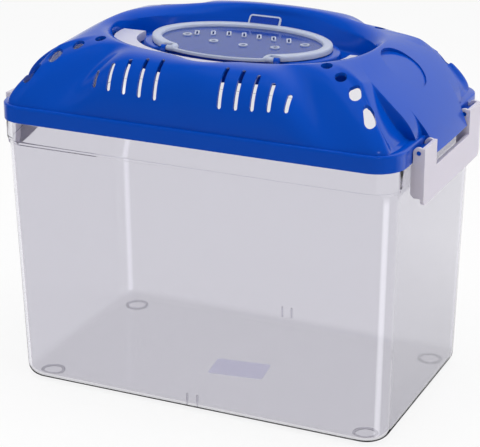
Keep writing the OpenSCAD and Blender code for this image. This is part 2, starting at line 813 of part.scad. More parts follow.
// The clear hatch: an oval plate with a thick rim, a finger tab and two hinge stubs
hatch_z = seat_z + seat_gap;
rim_break = 3;
lug_room = 1;
grille_y = 9;
vent_y = -4;
tab_shift = -2;
module hatch_plate() {
    difference() {
        linear_extrude(hatch_t + hatch_rim_h) oval(hatch_a, hatch_b);
        translate([0, 0, hatch_t])
            linear_extrude(hatch_rim_h + cut) oval(hatch_a - hatch_rim_w, hatch_b - hatch_rim_w);
        for (side = [-1, 1])
            translate([side * (knuckle_x + knuckle_len / 2 - knuckle_in), -hinge_y, -cut])
                translate([-knuckle_len / 2 - rim_break / 2, -lug_r - lug_room, 0])
                    cube([
                        knuckle_len + rim_break,
                        2 * lug_r + 2 * lug_room,
                        hatch_t + hatch_rim_h + 2 * cut
                    ]);
        hatch_grille();
    }
}
module hatch_grille() {
    for (k = [0:grille_n - 1])
        let (
            x = (k - (grille_n - 1) / 2) * grille_pitch,
            long = k % 2 == 0 ? grille_long : grille_short
        )
        translate([x - grille_w / 2, grille_y - long / 2, -cut]) cube([grille_w, long, hatch_t + 2 * cut]);
    for (k = [0:grille_n / 2])
        translate([(k - floor(grille_n / 2) / 2) * 2 * grille_pitch, vent_y, -cut])
            cylinder(d = vent_d, h = hatch_t + 2 * cut, $fn = small_fn);
}
module hatch_knuckle() {
    translate([knuckle_x - knuckle_len, -hinge_y, hinge_z])
        rotate([0, 90, 0]) {
            cylinder(r = knuckle_r, h = knuckle_len + stub_x - knuckle_x, $fn = small_fn);
            cylinder(d = stub_d, h = knuckle_len + stub_x - knuckle_x + stub_len, $fn = small_fn);
        }
}
module hatch_tab() {
    translate([tab_shift - tab_w / 2, hatch_b - hatch_rim_w / 2, hatch_z + hatch_t])
        rotate([tab_slope, 0, 0])
            cube([tab_w, tab_len, tab_t]);
}
module hatch() {
    color(clear_tint) {
        union() {
            translate([0, 0, hatch_z]) hatch_plate();
            hatch_knuckle();
            mirror([1, 0, 0]) hatch_knuckle();
            hatch_tab();
        }
    }
}

// The handle: a flat bail that lies in the moat round the front of the seat
grip_b = crest_b - lip_w - bowl_in - handle_gap / 2;
arm_end = pivot_y + handle_t / 2;
arm_n = 30;
arm_chop = 2;
stub_root = 1;
module handle_outline() {
    outer = oval_arc(handle_out_x, grip_b, -180, 0, arm_n);
    inner = oval_arc(handle_out_x - handle_arm_w, grip_b - grip_w, 0, -180, arm_n);
    polygon(concat(
        outer,
        [
            [handle_out_x, arm_end - arm_chop],
            [handle_out_x - arm_chop, arm_end],
            [handle_out_x - handle_arm_w + arm_chop, arm_end],
            [handle_out_x - handle_arm_w, arm_end - arm_chop]
        ],
        inner,
        [
            [handle_arm_w - handle_out_x, arm_end - arm_chop],
            [handle_arm_w - handle_out_x - arm_chop, arm_end],
            [arm_chop - handle_out_x, arm_end],
            [-handle_out_x, arm_end - arm_chop]
        ]
    ));
}
// Side view of the bail: flat, with round ends at the pivots
module handle_side() {
    translate([-handle_out_x - cut, pivot_y, pivot_z])
        rotate([0, 90, 0]) {
            cylinder(d = handle_t, h = 2 * handle_out_x + 2 * cut, $fn = small_fn);
            translate([-handle_t / 2, -pivot_y - crest_b, 0])
                cube([handle_t, pivot_y + crest_b, 2 * handle_out_x + 2 * cut]);
        }
}
module handle() {
    color(handle_white) {
        union() {
            intersection() {
                translate([0, 0, pivot_z - handle_t / 2]) linear_extrude(handle_t) handle_outline();
                handle_side();
            }
            for (side = [0, 1])
                mirror([side, 0, 0])
                    translate([handle_out_x - stub_root, pivot_y, pivot_z])
                        rotate([0, 90, 0])
                            cylinder(d = pivot_d, h = pivot_len + stub_root, $fn = small_fn);
        }
    }
}

// A latch: a face with two arms, side flanges and a snap bead, on the +X end
face_in = latch_x + face_gap;
latch_low = latch_z - latch_drop;
latch_rise = 3.4;
latch_top = latch_z + latch_rise;
snap_clear = 0.3;
snap_out = collar_len / 2 + snap_clear;
module latch_outline() {
    r = latch_corner_r;
    difference() {
        union() {
            translate([-latch_half + r, latch_low]) square([2 * latch_half - 2 * r, plate_h]);
            translate([-latch_half, latch_low + r]) square([2 * latch_half, latch_top - latch_low - r]);
            for (side = [-1, 1])
                translate([side * (latch_half - r), latch_low + r]) circle(r = r, $fn = small_fn);
        }
        translate([-flange_in, latch_low + plate_h]) square([2 * flange_in, latch_drop]);
    }
}
flange_low = latch_low + latch_corner_r;
flange_bevel = 2.5;
module latch_flange(y) {
    translate([0, y + flange_t, 0])
        rotate([90, 0, 0])
            linear_extrude(flange_t)
                difference() {
                    union() {
                        translate([latch_x, latch_z]) circle(r = eye_r, $fn = small_fn);
                        polygon([
                            [skirt_len / 2 + side_gap, latch_z],
                            [skirt_len / 2 + side_gap, skirt_z - side_gap],
                            [collar_len / 2 + side_gap, skirt_z - side_gap - skirt_out],
                            [collar_len / 2 + side_gap, flange_low + flange_bevel],
                            [collar_len / 2 + side_gap + flange_bevel, flange_low],
                            [face_in + cut, flange_low],
                            [face_in + cut, latch_z]
                        ]);
                    }
                    translate([latch_x, latch_z])
                        circle(r = latch_pin_d / 2 + bore_gap, $fn = small_fn);
                }
}
snap_z = collar_z - seat_gap;
snap_edge = 1;
module snap_bead() {
    translate([0, flange_in - side_gap, 0])
        rotate([90, 0, 0])
            linear_extrude(2 * flange_in - 2 * side_gap)
                polygon([
                    [face_in + cut, snap_z],
                    [snap_out, snap_z],
                    [snap_out, snap_z - snap_edge],
                    [face_in + cut, snap_z - snap_edge - snap_h]
                ]);
}
module latch() {
    color(latch_white) {
        union() {
            translate([face_in, 0, 0])
                rotate([90, 0, 90]) linear_extrude(latch_t) latch_outline();
            for (y = [-latch_half, -flange_in - flange_t, flange_in, latch_half - flange_t])
                latch_flange(y);
            snap_bead();
        }
    }
}
module latch_left() {
    mirror([1, 0, 0]) latch();
}
module latch_right() {
    latch();
}

tank();
lid();
hatch();
handle();
latch_left();
latch_right();
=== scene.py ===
"""Looks for the plastic pet keeper: a clear tapered tank, a domed blue lid with its feeding
hatch and folding handle, and a swinging latch at each end. Lengths are worked in millimetres
and put down in metres by MM."""

import math

import bmesh
import bpy
from mathutils import Matrix, Vector


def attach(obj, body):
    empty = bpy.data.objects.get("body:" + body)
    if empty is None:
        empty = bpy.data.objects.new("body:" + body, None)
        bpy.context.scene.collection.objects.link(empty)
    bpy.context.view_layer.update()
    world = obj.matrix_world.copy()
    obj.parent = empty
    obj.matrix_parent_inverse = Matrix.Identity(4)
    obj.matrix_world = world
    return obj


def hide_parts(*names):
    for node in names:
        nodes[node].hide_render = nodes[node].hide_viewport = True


MM = 0.001
WELD, FINE_WELD = 0.002, 0.001  # mm: points nearer than this become one
POINT = 0.0005  # mm: a ring this small welds into one point
SIDES = (-1, 1)
QUARTERS = [(sx, sy) for sx in SIDES for sy in SIDES]

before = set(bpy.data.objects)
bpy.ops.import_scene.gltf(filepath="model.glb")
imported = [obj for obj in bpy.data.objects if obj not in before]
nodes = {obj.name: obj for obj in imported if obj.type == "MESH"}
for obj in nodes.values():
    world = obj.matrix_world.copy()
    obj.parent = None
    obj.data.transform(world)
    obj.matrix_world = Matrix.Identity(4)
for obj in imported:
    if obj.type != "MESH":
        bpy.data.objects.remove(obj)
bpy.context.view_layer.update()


# ---------------------------------------------------------------- sizes that pieces share, in mm

# The tank: half sizes and corner at the collar, the wall, and the draft of each side.
TANK_X, TANK_Y, TANK_R, TANK_WALL, DRAFT = 147.0, 88.85, 18.0, 2.0, 4.0
FOOT_Z, FLOOR_Z, COLLAR_Z, SHOULDER_Z, TANK_Z = 1.0, 3.4, 186.2, 200.7, 209.0

# The lid's skirt: half sizes and corner, and the heights of its foot and of the dome on it.
SKIRT_X, SKIRT_Y, SKIRT_R = 150.0, 91.85, 21.0
SKIRT_Z, DOME_Z = 201.0, 213.0

# The pivots of the hatch and of the handle, and the handle's reach along its own.
HINGE_Y, HINGE_Z = -36.0, 251.9
PIVOT_Y, PIVOT_Z, HANDLE_OUT = 6.0, 246.8, 97.1


# ---------------------------------------------------------------- small helpers


def mix(a, b, t):
    """The value a share t of the way from a to b."""
    return a + (b - a) * t


def ease(a, b, v):
    """0 up to a and 1 from b on, with a smooth rise between them."""
    t = min(1.0, max(0.0, (v - a) / (b - a)))
    return t * t * (3 - 2 * t)


def hump(half, v):
    """1 at nought, falling smoothly to 0 at half to either side."""
    t = min(1.0, abs(v) / half)
    return (1 - t * t) ** 2


def quarter(n):
    """The turns of a quarter round in n steps, from 0 to a right angle."""
    return [math.pi / 2 * k / n for k in range(n + 1)]


def oval_ring(a, b, z, n=120):
    """An ellipse with half axes a and b, as n points at a height."""
    turns = [2 * math.pi * i / n for i in range(n)]
    return [(a * math.cos(turn), b * math.sin(turn), z) for turn in turns]


def srgb(code):
    """An sRGB hex value as the linear colour that a shader takes."""
    parts = [int(code[i : i + 2], 16) / 255 for i in (1, 3, 5)]
    return [c / 12.92 if c <= 0.04045 else ((c + 0.055) / 1.055) ** 2.4 for c in parts] + [1.0]


def add(tree, kind, settings=None, links=None):
    """Adds a node, sets its properties and inputs, and links its inputs from (node, output)."""
    node = tree.nodes.new(kind)
    for key, value in (settings or {}).items():
        if isinstance(key, str) and hasattr(node, key):
            setattr(node, key, value)
        else:
            node.inputs[key].default_value = value
    for key, (source, output) in (links or {}).items():
        tree.links.new(source.outputs[output], node.inputs[key])
    return node


def new_material(name):
    """A material with an empty node tree and its output."""
    material = bpy.data.materials.new(name)
    material.use_nodes = True
    tree = material.node_tree
    tree.nodes.clear()
    return material, tree, tree.nodes.new("ShaderNodeOutputMaterial")


def new_piece(name, bm, material, body, replaced=()):
    """Turns a bmesh in millimetres into a finished piece that rides on a body."""
    bmesh.ops.remove_doubles(bm, verts=bm.verts, dist=WELD)
    bmesh.ops.recalc_face_normals(bm, faces=bm.faces)
    bmesh.ops.scale(bm, vec=(MM, MM, MM), verts=bm.verts)
    mesh = bpy.data.meshes.new(name)
    bm.to_mesh(mesh)
    bm.free()
    mesh.materials.append(material)
    piece = bpy.data.objects.new(name, mesh)
    bpy.context.scene.collection.objects.link(piece)
    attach(piece, body)
    if replaced:
        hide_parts(*replaced)
    return piece


def smooth(piece, angle):
    """Smooth shading, with edges sharper than the angle in degrees kept crisp."""
    for polygon in piece.data.polygons:
        polygon.use_smooth = True
    piece.data.set_sharp_from_angle(angle=math.radians(angle))


def loft(bm, rings, closed):
    """Stretches a grid over closed rings of points; closed joins the last ring to the first."""
    n, m = len(rings[0]), len(rings)
    rows = m if closed else m - 1
    grid = bmesh.ops.create_grid(bm, x_segments=n, y_segments=rows, size=1.0)["verts"]
    for vert in grid:
        i = round((vert.co.x + 1) / 2 * n) % n
        j = round((vert.co.y + 1) / 2 * rows) % m
        vert.co = rings[j][i]


def raise_shape(bm, shape, height):
    """Turns a flat shape into a closed bar that stands on it; gives all its points."""
    faces = list({f for v in shape for f in v.link_faces})
    pushed = bmesh.ops.extrude_face_region(bm, geom=faces)["geom"]
    tops = [g for g in pushed if isinstance(g, bmesh.types.BMVert)]
    bmesh.ops.translate(bm, vec=(0, 0, height), verts=tops)
    return shape + tops


def round_bar(bm, radius, length, height):
    """A closed bar with a round-ended outline, drawn out along +Y and standing along +Z."""
    shape = bmesh.ops.create_circle(bm, cap_ends=True, segments=32, radius=radius)["verts"]
    for vert in shape:
        if vert.co.y > 0:
            vert.co.y += length
    return raise_shape(bm, shape, height)


def place(bm, verts, turns, spot, signs=(1, 1, 1)):
    """Turns points by (degrees, axis) pairs, moves them to a spot and mirrors them."""
    for degrees, axis in turns:
        turn = Matrix.Rotation(math.radians(degrees), 3, axis)
        bmesh.ops.rotate(bm, cent=(0, 0, 0), matrix=turn, verts=verts)
    bmesh.ops.translate(bm, vec=spot, verts=verts)
    bmesh.ops.scale(bm, vec=signs, verts=verts)


def round_edges(bm, edges, radius, segments):
    """Rounds edges off to a radius."""
    bmesh.ops.bevel(
        bm,
        geom=edges,
        offset=radius,
        affect="EDGES",
        segments=segments,
        profile=0.5,
        material=-1,
    )


def upright_edges(bm):
    """The edges that run up through a flat plate."""
    return [e for e in bm.edges if abs(e.verts[0].co.z - e.verts[1].co.z) > 0.1]


def block(bm, xs, ys, zs, radius=0.0):
    """A closed box between limits in x, y and z, with its edges rounded to a radius."""
    made = bmesh.ops.create_cube(bm, size=1.0)["verts"]
    limits = [sorted(pair) for pair in (xs, ys, zs)]
    bmesh.ops.scale(bm, vec=[high - low for low, high in limits], verts=made)
    bmesh.ops.translate(bm, vec=[(low + high) / 2 for low, high in limits], verts=made)
    if radius:
        round_edges(bm, list({e for v in made for e in v.link_edges}), radius, 3)


def rod(bm, radius, low, high, segments=32):
    """A closed round bar between two points."""
    low, high = Vector(low), Vector(high)
    axis = high - low
    turn = Vector((0, 0, 1)).rotation_difference(axis).to_matrix().to_4x4()
    bmesh.ops.create_cone(
        bm,
        cap_ends=True,
        segments=segments,
        radius1=radius,
        radius2=radius,
        depth=axis.length,
        matrix=Matrix.Translation((low + high) / 2) @ turn,
    )


def cut(piece, bm):
    """Takes a closed bmesh in millimetres out of a piece."""
    bmesh.ops.recalc_face_normals(bm, faces=bm.faces)
    bmesh.ops.scale(bm, vec=(MM, MM, MM), verts=bm.verts)
    mesh = bpy.data.meshes.new("cutter")
    bm.to_mesh(mesh)
    bm.free()
    mesh.materials.append(piece.data.materials[0])
    cutter = bpy.data.objects.new("cutter", mesh)
    bpy.context.scene.collection.objects.link(cutter)
    boolean = piece.modifiers.new("cut", "BOOLEAN")
    boolean.operation = "DIFFERENCE"
    boolean.solver = "MANIFOLD"
    boolean.object = cutter
    bpy.context.view_layer.update()
    graph = bpy.context.evaluated_depsgraph_get()
    shaped = bpy.data.meshes.new_from_object(piece.evaluated_get(graph))
    piece.modifiers.clear()
    old, piece.data = piece.data, shaped
    shaped.name = old.name + "_cut"
    bpy.data.meshes.remove(old)
    bpy.data.objects.remove(cutter)
    bpy.data.meshes.remove(mesh)


# ---------------------------------------------------------------- materials


def relief(tree, patch, strength, depth, detail=2.0, roughness=0.5):
    """A bump from noise whose patches and depth are in millimetres."""
    coords = add(tree, "ShaderNodeTexCoord")
    noise = add(
        tree,
        "ShaderNodeTexNoise",
        {"Scale": 1 / (patch * MM), "Detail": detail, "Roughness": roughness},
        {"Vector": (coords, "Object")},
    )
    return add(
        tree,
        "ShaderNodeBump",
        {"Strength": strength, "Distance": depth * MM},
        {"Height": (noise, "Fac")},
    )


def one_colour(name, grain, settings):
    """A plastic or paper of one colour, whose surface has a relief."""
    material, tree, out = new_material(name)
    bump = relief(tree, **grain)
    shader = add(tree, "ShaderNodeBsdfPrincipled", settings, {"Normal": (bump, "Normal")})
    tree.links.new(shader.outputs["BSDF"], out.inputs["Surface"])
    return material


# The patches of each relief, in mm.
FLOW_WAVE = 45.4545  # the real width of the waves that flow leaves in a large thin wall
THIN_WAVE = 11.1111  # the same in the small thin hatch
ORANGE_PEEL = 16.6667  # the real one is 2 to 5, and is drawn coarser so that it shows
SATIN_GRAIN = 2.0  # the real one is 0.2, and is drawn coarser so that it shows
SPARK_GRAIN = 2.5  # the real pits are 0.1, and are drawn coarser so that they show
PAPER_FIBRE = 1.1111  # the real length of short fibres

FLOOR_SHADE_LOW, FLOOR_SHADE_HIGH = 3.0, 9.0  # mm: the painted shade is deepest at the floor and gone above its edge
CORNER_HIGHLIGHT_INSETS = (0.313, 0.063)  # mm inside the corner's outermost line: where its painted highlight starts
HIGHLIGHT_FADE_ENDS = (8.2, 2.2)  # mm below the collar: where that painted highlight fades


def clear_polystyrene():
    """General-purpose polystyrene, injection moulded and unpainted: clear with a cool grey
    tint, a hard gloss and the faint waviness of flow from the gate. Towards the floor the tint
    is darkened as painted shade, and a painted highlight, an emission, lies in fine bright
    lines along the upright corners."""
    material, tree, out = new_material("clear_polystyrene_moulded")
    bump = relief(tree, FLOW_WAVE, strength=0.12, depth=0.6, roughness=0.4)
    coords = add(tree, "ShaderNodeTexCoord")
    parts = add(tree, "ShaderNodeSeparateXYZ", None, {0: (coords, "Object")})
    # Painted shade: the grey tint darkens towards the tank's floor.
    depth = add(
        tree,
        "ShaderNodeMapRange",
        {"From Min": FLOOR_SHADE_LOW * MM, "From Max": FLOOR_SHADE_HIGH * MM, "To Min": 0.88, "To Max": 1.0},
        {"Value": (parts, "Z")},
    )
    tint_with_floor_shade = add(tree, "ShaderNodeHueSaturation", {"Color": srgb("#E6E5EA")}, {"Value": (depth, 0)})
    # Measured as the sum of both distances from the middle, an upright corner's outermost line
    # moves out with height by the draft of both sides.
    across = add(tree, "ShaderNodeMath", {"operation": "ABSOLUTE"}, {0: (parts, "X")})
    along = add(tree, "ShaderNodeMath", {"operation": "ABSOLUTE"}, {0: (parts, "Y")})
    both = add(tree, "ShaderNodeMath", {"operation": "ADD"}, {0: (across, 0), 1: (along, 0)})
    slope = 2 * DRAFT / (COLLAR_Z - FOOT_Z)
    outermost = TANK_X + TANK_Y - (2 - math.sqrt(2)) * TANK_R - slope * COLLAR_Z
    out_by = add(
        tree,
        "ShaderNodeMath",
        {"operation": "MULTIPLY_ADD", 1: -slope},
        {0: (parts, "Z"), 2: (both, 0)},
    )
    # Painted highlight: an emission in a thin band just inside each upright corner's outermost
    # line.
    low, high = [(outermost - inside) * MM for inside in CORNER_HIGHLIGHT_INSETS]
    corner = add(
        tree,
        "ShaderNodeMapRange",
        {"From Min": low, "From Max": high, "To Min": 0.0, "To Max": 0.22},
        {"Value": (out_by, 0)},
    )
    low, high = [(COLLAR_Z - below) * MM for below in HIGHLIGHT_FADE_ENDS]
    walls = add(
        tree,
        "ShaderNodeMapRange",
        {"From Min": low, "From Max": high, "To Min": 1.0, "To Max": 0.12},
        {"Value": (parts, "Z")},
    )
    # The painted highlight on the corners, faded out towards the collar.
    painted_corner_highlight = add(tree, "ShaderNodeMath", {"operation": "MULTIPLY"}, {0: (corner, 0), 1: (walls, 0)})
    shader = add(
        tree,
        "ShaderNodeBsdfPrincipled",
        {
            "Roughness": 0.05,
            "IOR": 1.3,
            "Transmission Weight": 1.0,
            "Emission Color": srgb("#F6F6FC"),
        },
        {"Base Color": (tint_with_floor_shade, 0), "Normal": (bump, "Normal"), "Emission Strength": (painted_corner_highlight, 0)},
    )
    tree.links.new(shader.outputs["BSDF"], out.inputs["Surface"])
    return material


def blue_abs():
    """ABS in royal blue, injection moulded in a polished tool: an even deep colour under a
    hard gloss, with the slight orange peel of a thick moulding."""
    return one_colour(
        "royal_blue_abs_moulded",
        {"patch": ORANGE_PEEL, "strength": 0.06, "depth": 0.4},
        {"Base Color": srgb("#0048B6"), "Roughness": 0.16, "IOR": 1.52, "Specular IOR Level": 0.5},
    )


def white_polypropylene(name, colour):
    """Polypropylene with a little titanium white, injection moulded: a cool milky satin."""
    return one_colour(
        name,
        {"patch": SATIN_GRAIN, "strength": 0.1, "depth": 0.2},
        {
            "Base Color": srgb(colour),
            "Roughness": 0.34,
            "IOR": 1.49,
            "Subsurface Weight": 0.25,
            "Subsurface Radius": (0.004, 0.004, 0.005),
            "Subsurface Scale": 1.0,
        },
    )


def hatch_polystyrene():
    """Polystyrene with a little blue in it, moulded thin: half clear, half milky."""
    return one_colour(
        "tinted_polystyrene_moulded",
        {"patch": THIN_WAVE, "strength": 0.12, "depth": 0.4},
        {
            "Base Color": srgb("#3A69CC"),
            "Roughness": 0.12,
            "IOR": 1.45,
            "Specular IOR Level": 0.12,
            "Transmission Weight": 0.72,
        },
    )


def frosted_polystyrene():
    """The same polystyrene with a spark-eroded mould finish: bright, milky and satin, so the
    rim, the knuckles and the vents' collars stand out from the plate."""
    return one_colour(
        "frosted_polystyrene_moulded",
        {"patch": SPARK_GRAIN, "strength": 0.3, "depth": 0.3, "detail": 3.0},
        {
            "Base Color": srgb("#CBD3E8"),
            "Roughness": 0.35,
            "IOR": 1.45,
            "Transmission Weight": 0.3,
            "Subsurface Weight": 0.2,
            "Subsurface Radius": (0.002, 0.002, 0.003),
            "Subsurface Scale": 1.0,
        },
    )


def coated_paper():
    """Coated label paper, die cut and glued: flat and slightly glossy, with painted light, an
    emission that makes it look lit where it lies in shadow under the clear plastic."""
    return one_colour(
        "coated_paper_label",
        {"patch": PAPER_FIBRE, "strength": 0.1, "depth": 0.1},
        {
            "Base Color": srgb("#F4F3F8"),
            "Roughness": 0.5,
            # painted light: this glow stands in for light that reaches the label through the clear
            # floor
            "Emission Color": srgb("#E6E6F4"),
            "Emission Strength": 0.75,
        },
    )


TANK_MATERIAL = clear_polystyrene()
LID_MATERIAL = blue_abs()
HATCH_MATERIAL = hatch_polystyrene()
FROSTED_MATERIAL = frosted_polystyrene()
HANDLE_MATERIAL = white_polypropylene("white_polypropylene_handle", "#C9C9DA")
LATCH_MATERIAL = white_polypropylene("white_polypropylene_latch", "#CFC9D6")
LABEL_MATERIAL = coated_paper()

for node, material in (
    ("tank", TANK_MATERIAL),
    ("hatch", HATCH_MATERIAL),
    ("handle", HANDLE_MATERIAL),
    ("latch_left", LATCH_MATERIAL),
    ("latch_right", LATCH_MATERIAL),
    ("lid", LID_MATERIAL),
):
    nodes[node].data.materials.clear()
    nodes[node].data.materials.append(material)


# ---------------------------------------------------------------- the lid's form, in mm

# Walls, and the ledge between the skirt and the dome's foot.
WALL, SKIRT_WALL, LEDGE = 2.0, 2.3, 2.0
EDGE_R, EDGE_DOWN = 1.6, 3.0

# The crest round the recess: half sizes, squareness, arch at the back, dip in front, and the
# notch for two fingers.
CREST_Z, CREST_A, CREST_B, CREST_POWER = 259.5, 103.0, 62.5, 2.7
BACK_ARCH, ARCH_POWER, FRONT_DIP = 5.0, 7, 4.0
FINGER_DEEP, FINGER_HALF = 9.0, 32.0

# Inside it: the rolled lip, the bowl's wall with its lean at the back, the moat and the seat.
ROLL_IN, ROLL_DOWN, BOWL_IN, BACK_LEAN = 4.0, 5.0, 3.5, 9.0
MOAT_Z, SEAT_Z, BOWL_FOOT, BOWL_EASE = 242.0, 250.0, 1.2, 0.4
SEAT_A, SEAT_B, SEAT_WIDTH, SEAT_FRONT, SEAT_TAPER = 73.0, 46.5, 10.0, 32.0, 0.35

# The ends: a rolled cheek with a tongue that runs down to the skirt's foot, and beside the
# tongue a column drawn in over the latch's arm. CREST_FROM is where the cheek meets the crest.
CHEEK_X, CHEEK_R, CHEEK_DOWN = 72.5, 90.0, 40.5
CHEEK_Z = DOME_Z - CHEEK_DOWN
CHEEK_HALF, CHEEK_BOW, CHEEK_CROWN, CROWN_POWER = 48.0, 8.0, 1.2, 2.5
CREST_FROM, TONGUE_HALF, TONGUE_STEP, COLUMN_UP = 0.68, 35.0, 0.8, 19.0
CHEEK_EDGE = CHEEK_HALF + 1.6

# The shallow round flat on each cheek, and the thicker wall behind it, which thins out beyond.
DISC_R, DISC_DEEP, DISC_SLOPE = 19.0, 1.0, math.radians(33)
DISC_PAD, DISC_FADE = 1.4, 5.0

# A quarter of the foot, measured along it: half the end, the corner, half the side; and how far
# round the crest the end's and the side's flow lines reach.
END_LEN = SKIRT_Y - SKIRT_R
CORNER_LEN = (SKIRT_R - LEDGE) * math.pi / 2
SIDE_LEN = SKIRT_X - SKIRT_R
CORNER_END = END_LEN + CORNER_LEN
END_SHARE, SIDE_SHARE = 0.53, 0.68

# How full the section is: 1 is an even curve, less bulges as the panel does and more hollows as
# the valley does. The ridge at the corner lies between.
PANEL_CURVE, VALLEY_CURVE, RIDGE_CURVE = 0.82, 1.7, 1.38
PANEL_HALF, VALLEY_X, VALLEY_POWER = 56.0, 103.0, 1.4
RIDGE_FROM, RIDGE_FULL = END_LEN - 4, END_LEN + 0.55 * CORNER_LEN
BEND_POWER, BEND_MOST = 0.6, 3.0

# The hollow between the cheek's edge and the ridge.
SCALLOP_DEEP, SCALLOP_TOP, SCALLOP_TURN = 8.0, 0.7, math.radians(50)
SCALLOP_START, SCALLOP_POWER, SCALLOP_LEVEL = 0.25, 0.85, 0.3
SCALLOP_FADES = (END_LEN + 2, END_LEN + 0.6 * CORNER_LEN)

# Where a quarter of the foot is divided, and into how many steps up to the next place: closer
# together at the tongue's step and at the cheek's edge, where the form is crisp.
FOOT_SPANS = (
    (0.0, 12),
    (32.2, 19),
    (36.0, 6),
    (46.0, 20),
    (50.0, 14),
    (END_LEN, 20),
    (CORNER_END, 36),
    (CORNER_END + 52, 26),
    (CORNER_END + SIDE_LEN, 0),
)
DOME_STEPS, ROLL_STEPS, BOWL_STEPS, INNER_STEPS = 44, 8, 8, 13

# The inside: the share of the dome that it follows, from its top to its foot, and its turn on
# the back of the bowl, by its share of the bowl's depth and how far in it lies.
INNER_TOP, INNER_FOOT = 0.93, 0.05
TURN_DOWN, TURN_IN = 0.45, 0.5

# The seat's section, as its inset and height: up from the moat, over the top, and back below.
SEAT_SECTION = (
    (-1.4, MOAT_Z),
    (-0.8, MOAT_Z + 0.5),
    (-0.2, SEAT_Z - 1.0),
    (0.2, SEAT_Z - 0.3),
    (0.9, SEAT_Z),
    (SEAT_WIDTH - 0.7, SEAT_Z),
    (SEAT_WIDTH - 0.2, SEAT_Z - 0.3),
    (SEAT_WIDTH, SEAT_Z - 0.8),
    (SEAT_WIDTH, SEAT_Z - WALL),
    (WALL, SEAT_Z - WALL),
    (WALL, MOAT_Z - WALL),
)


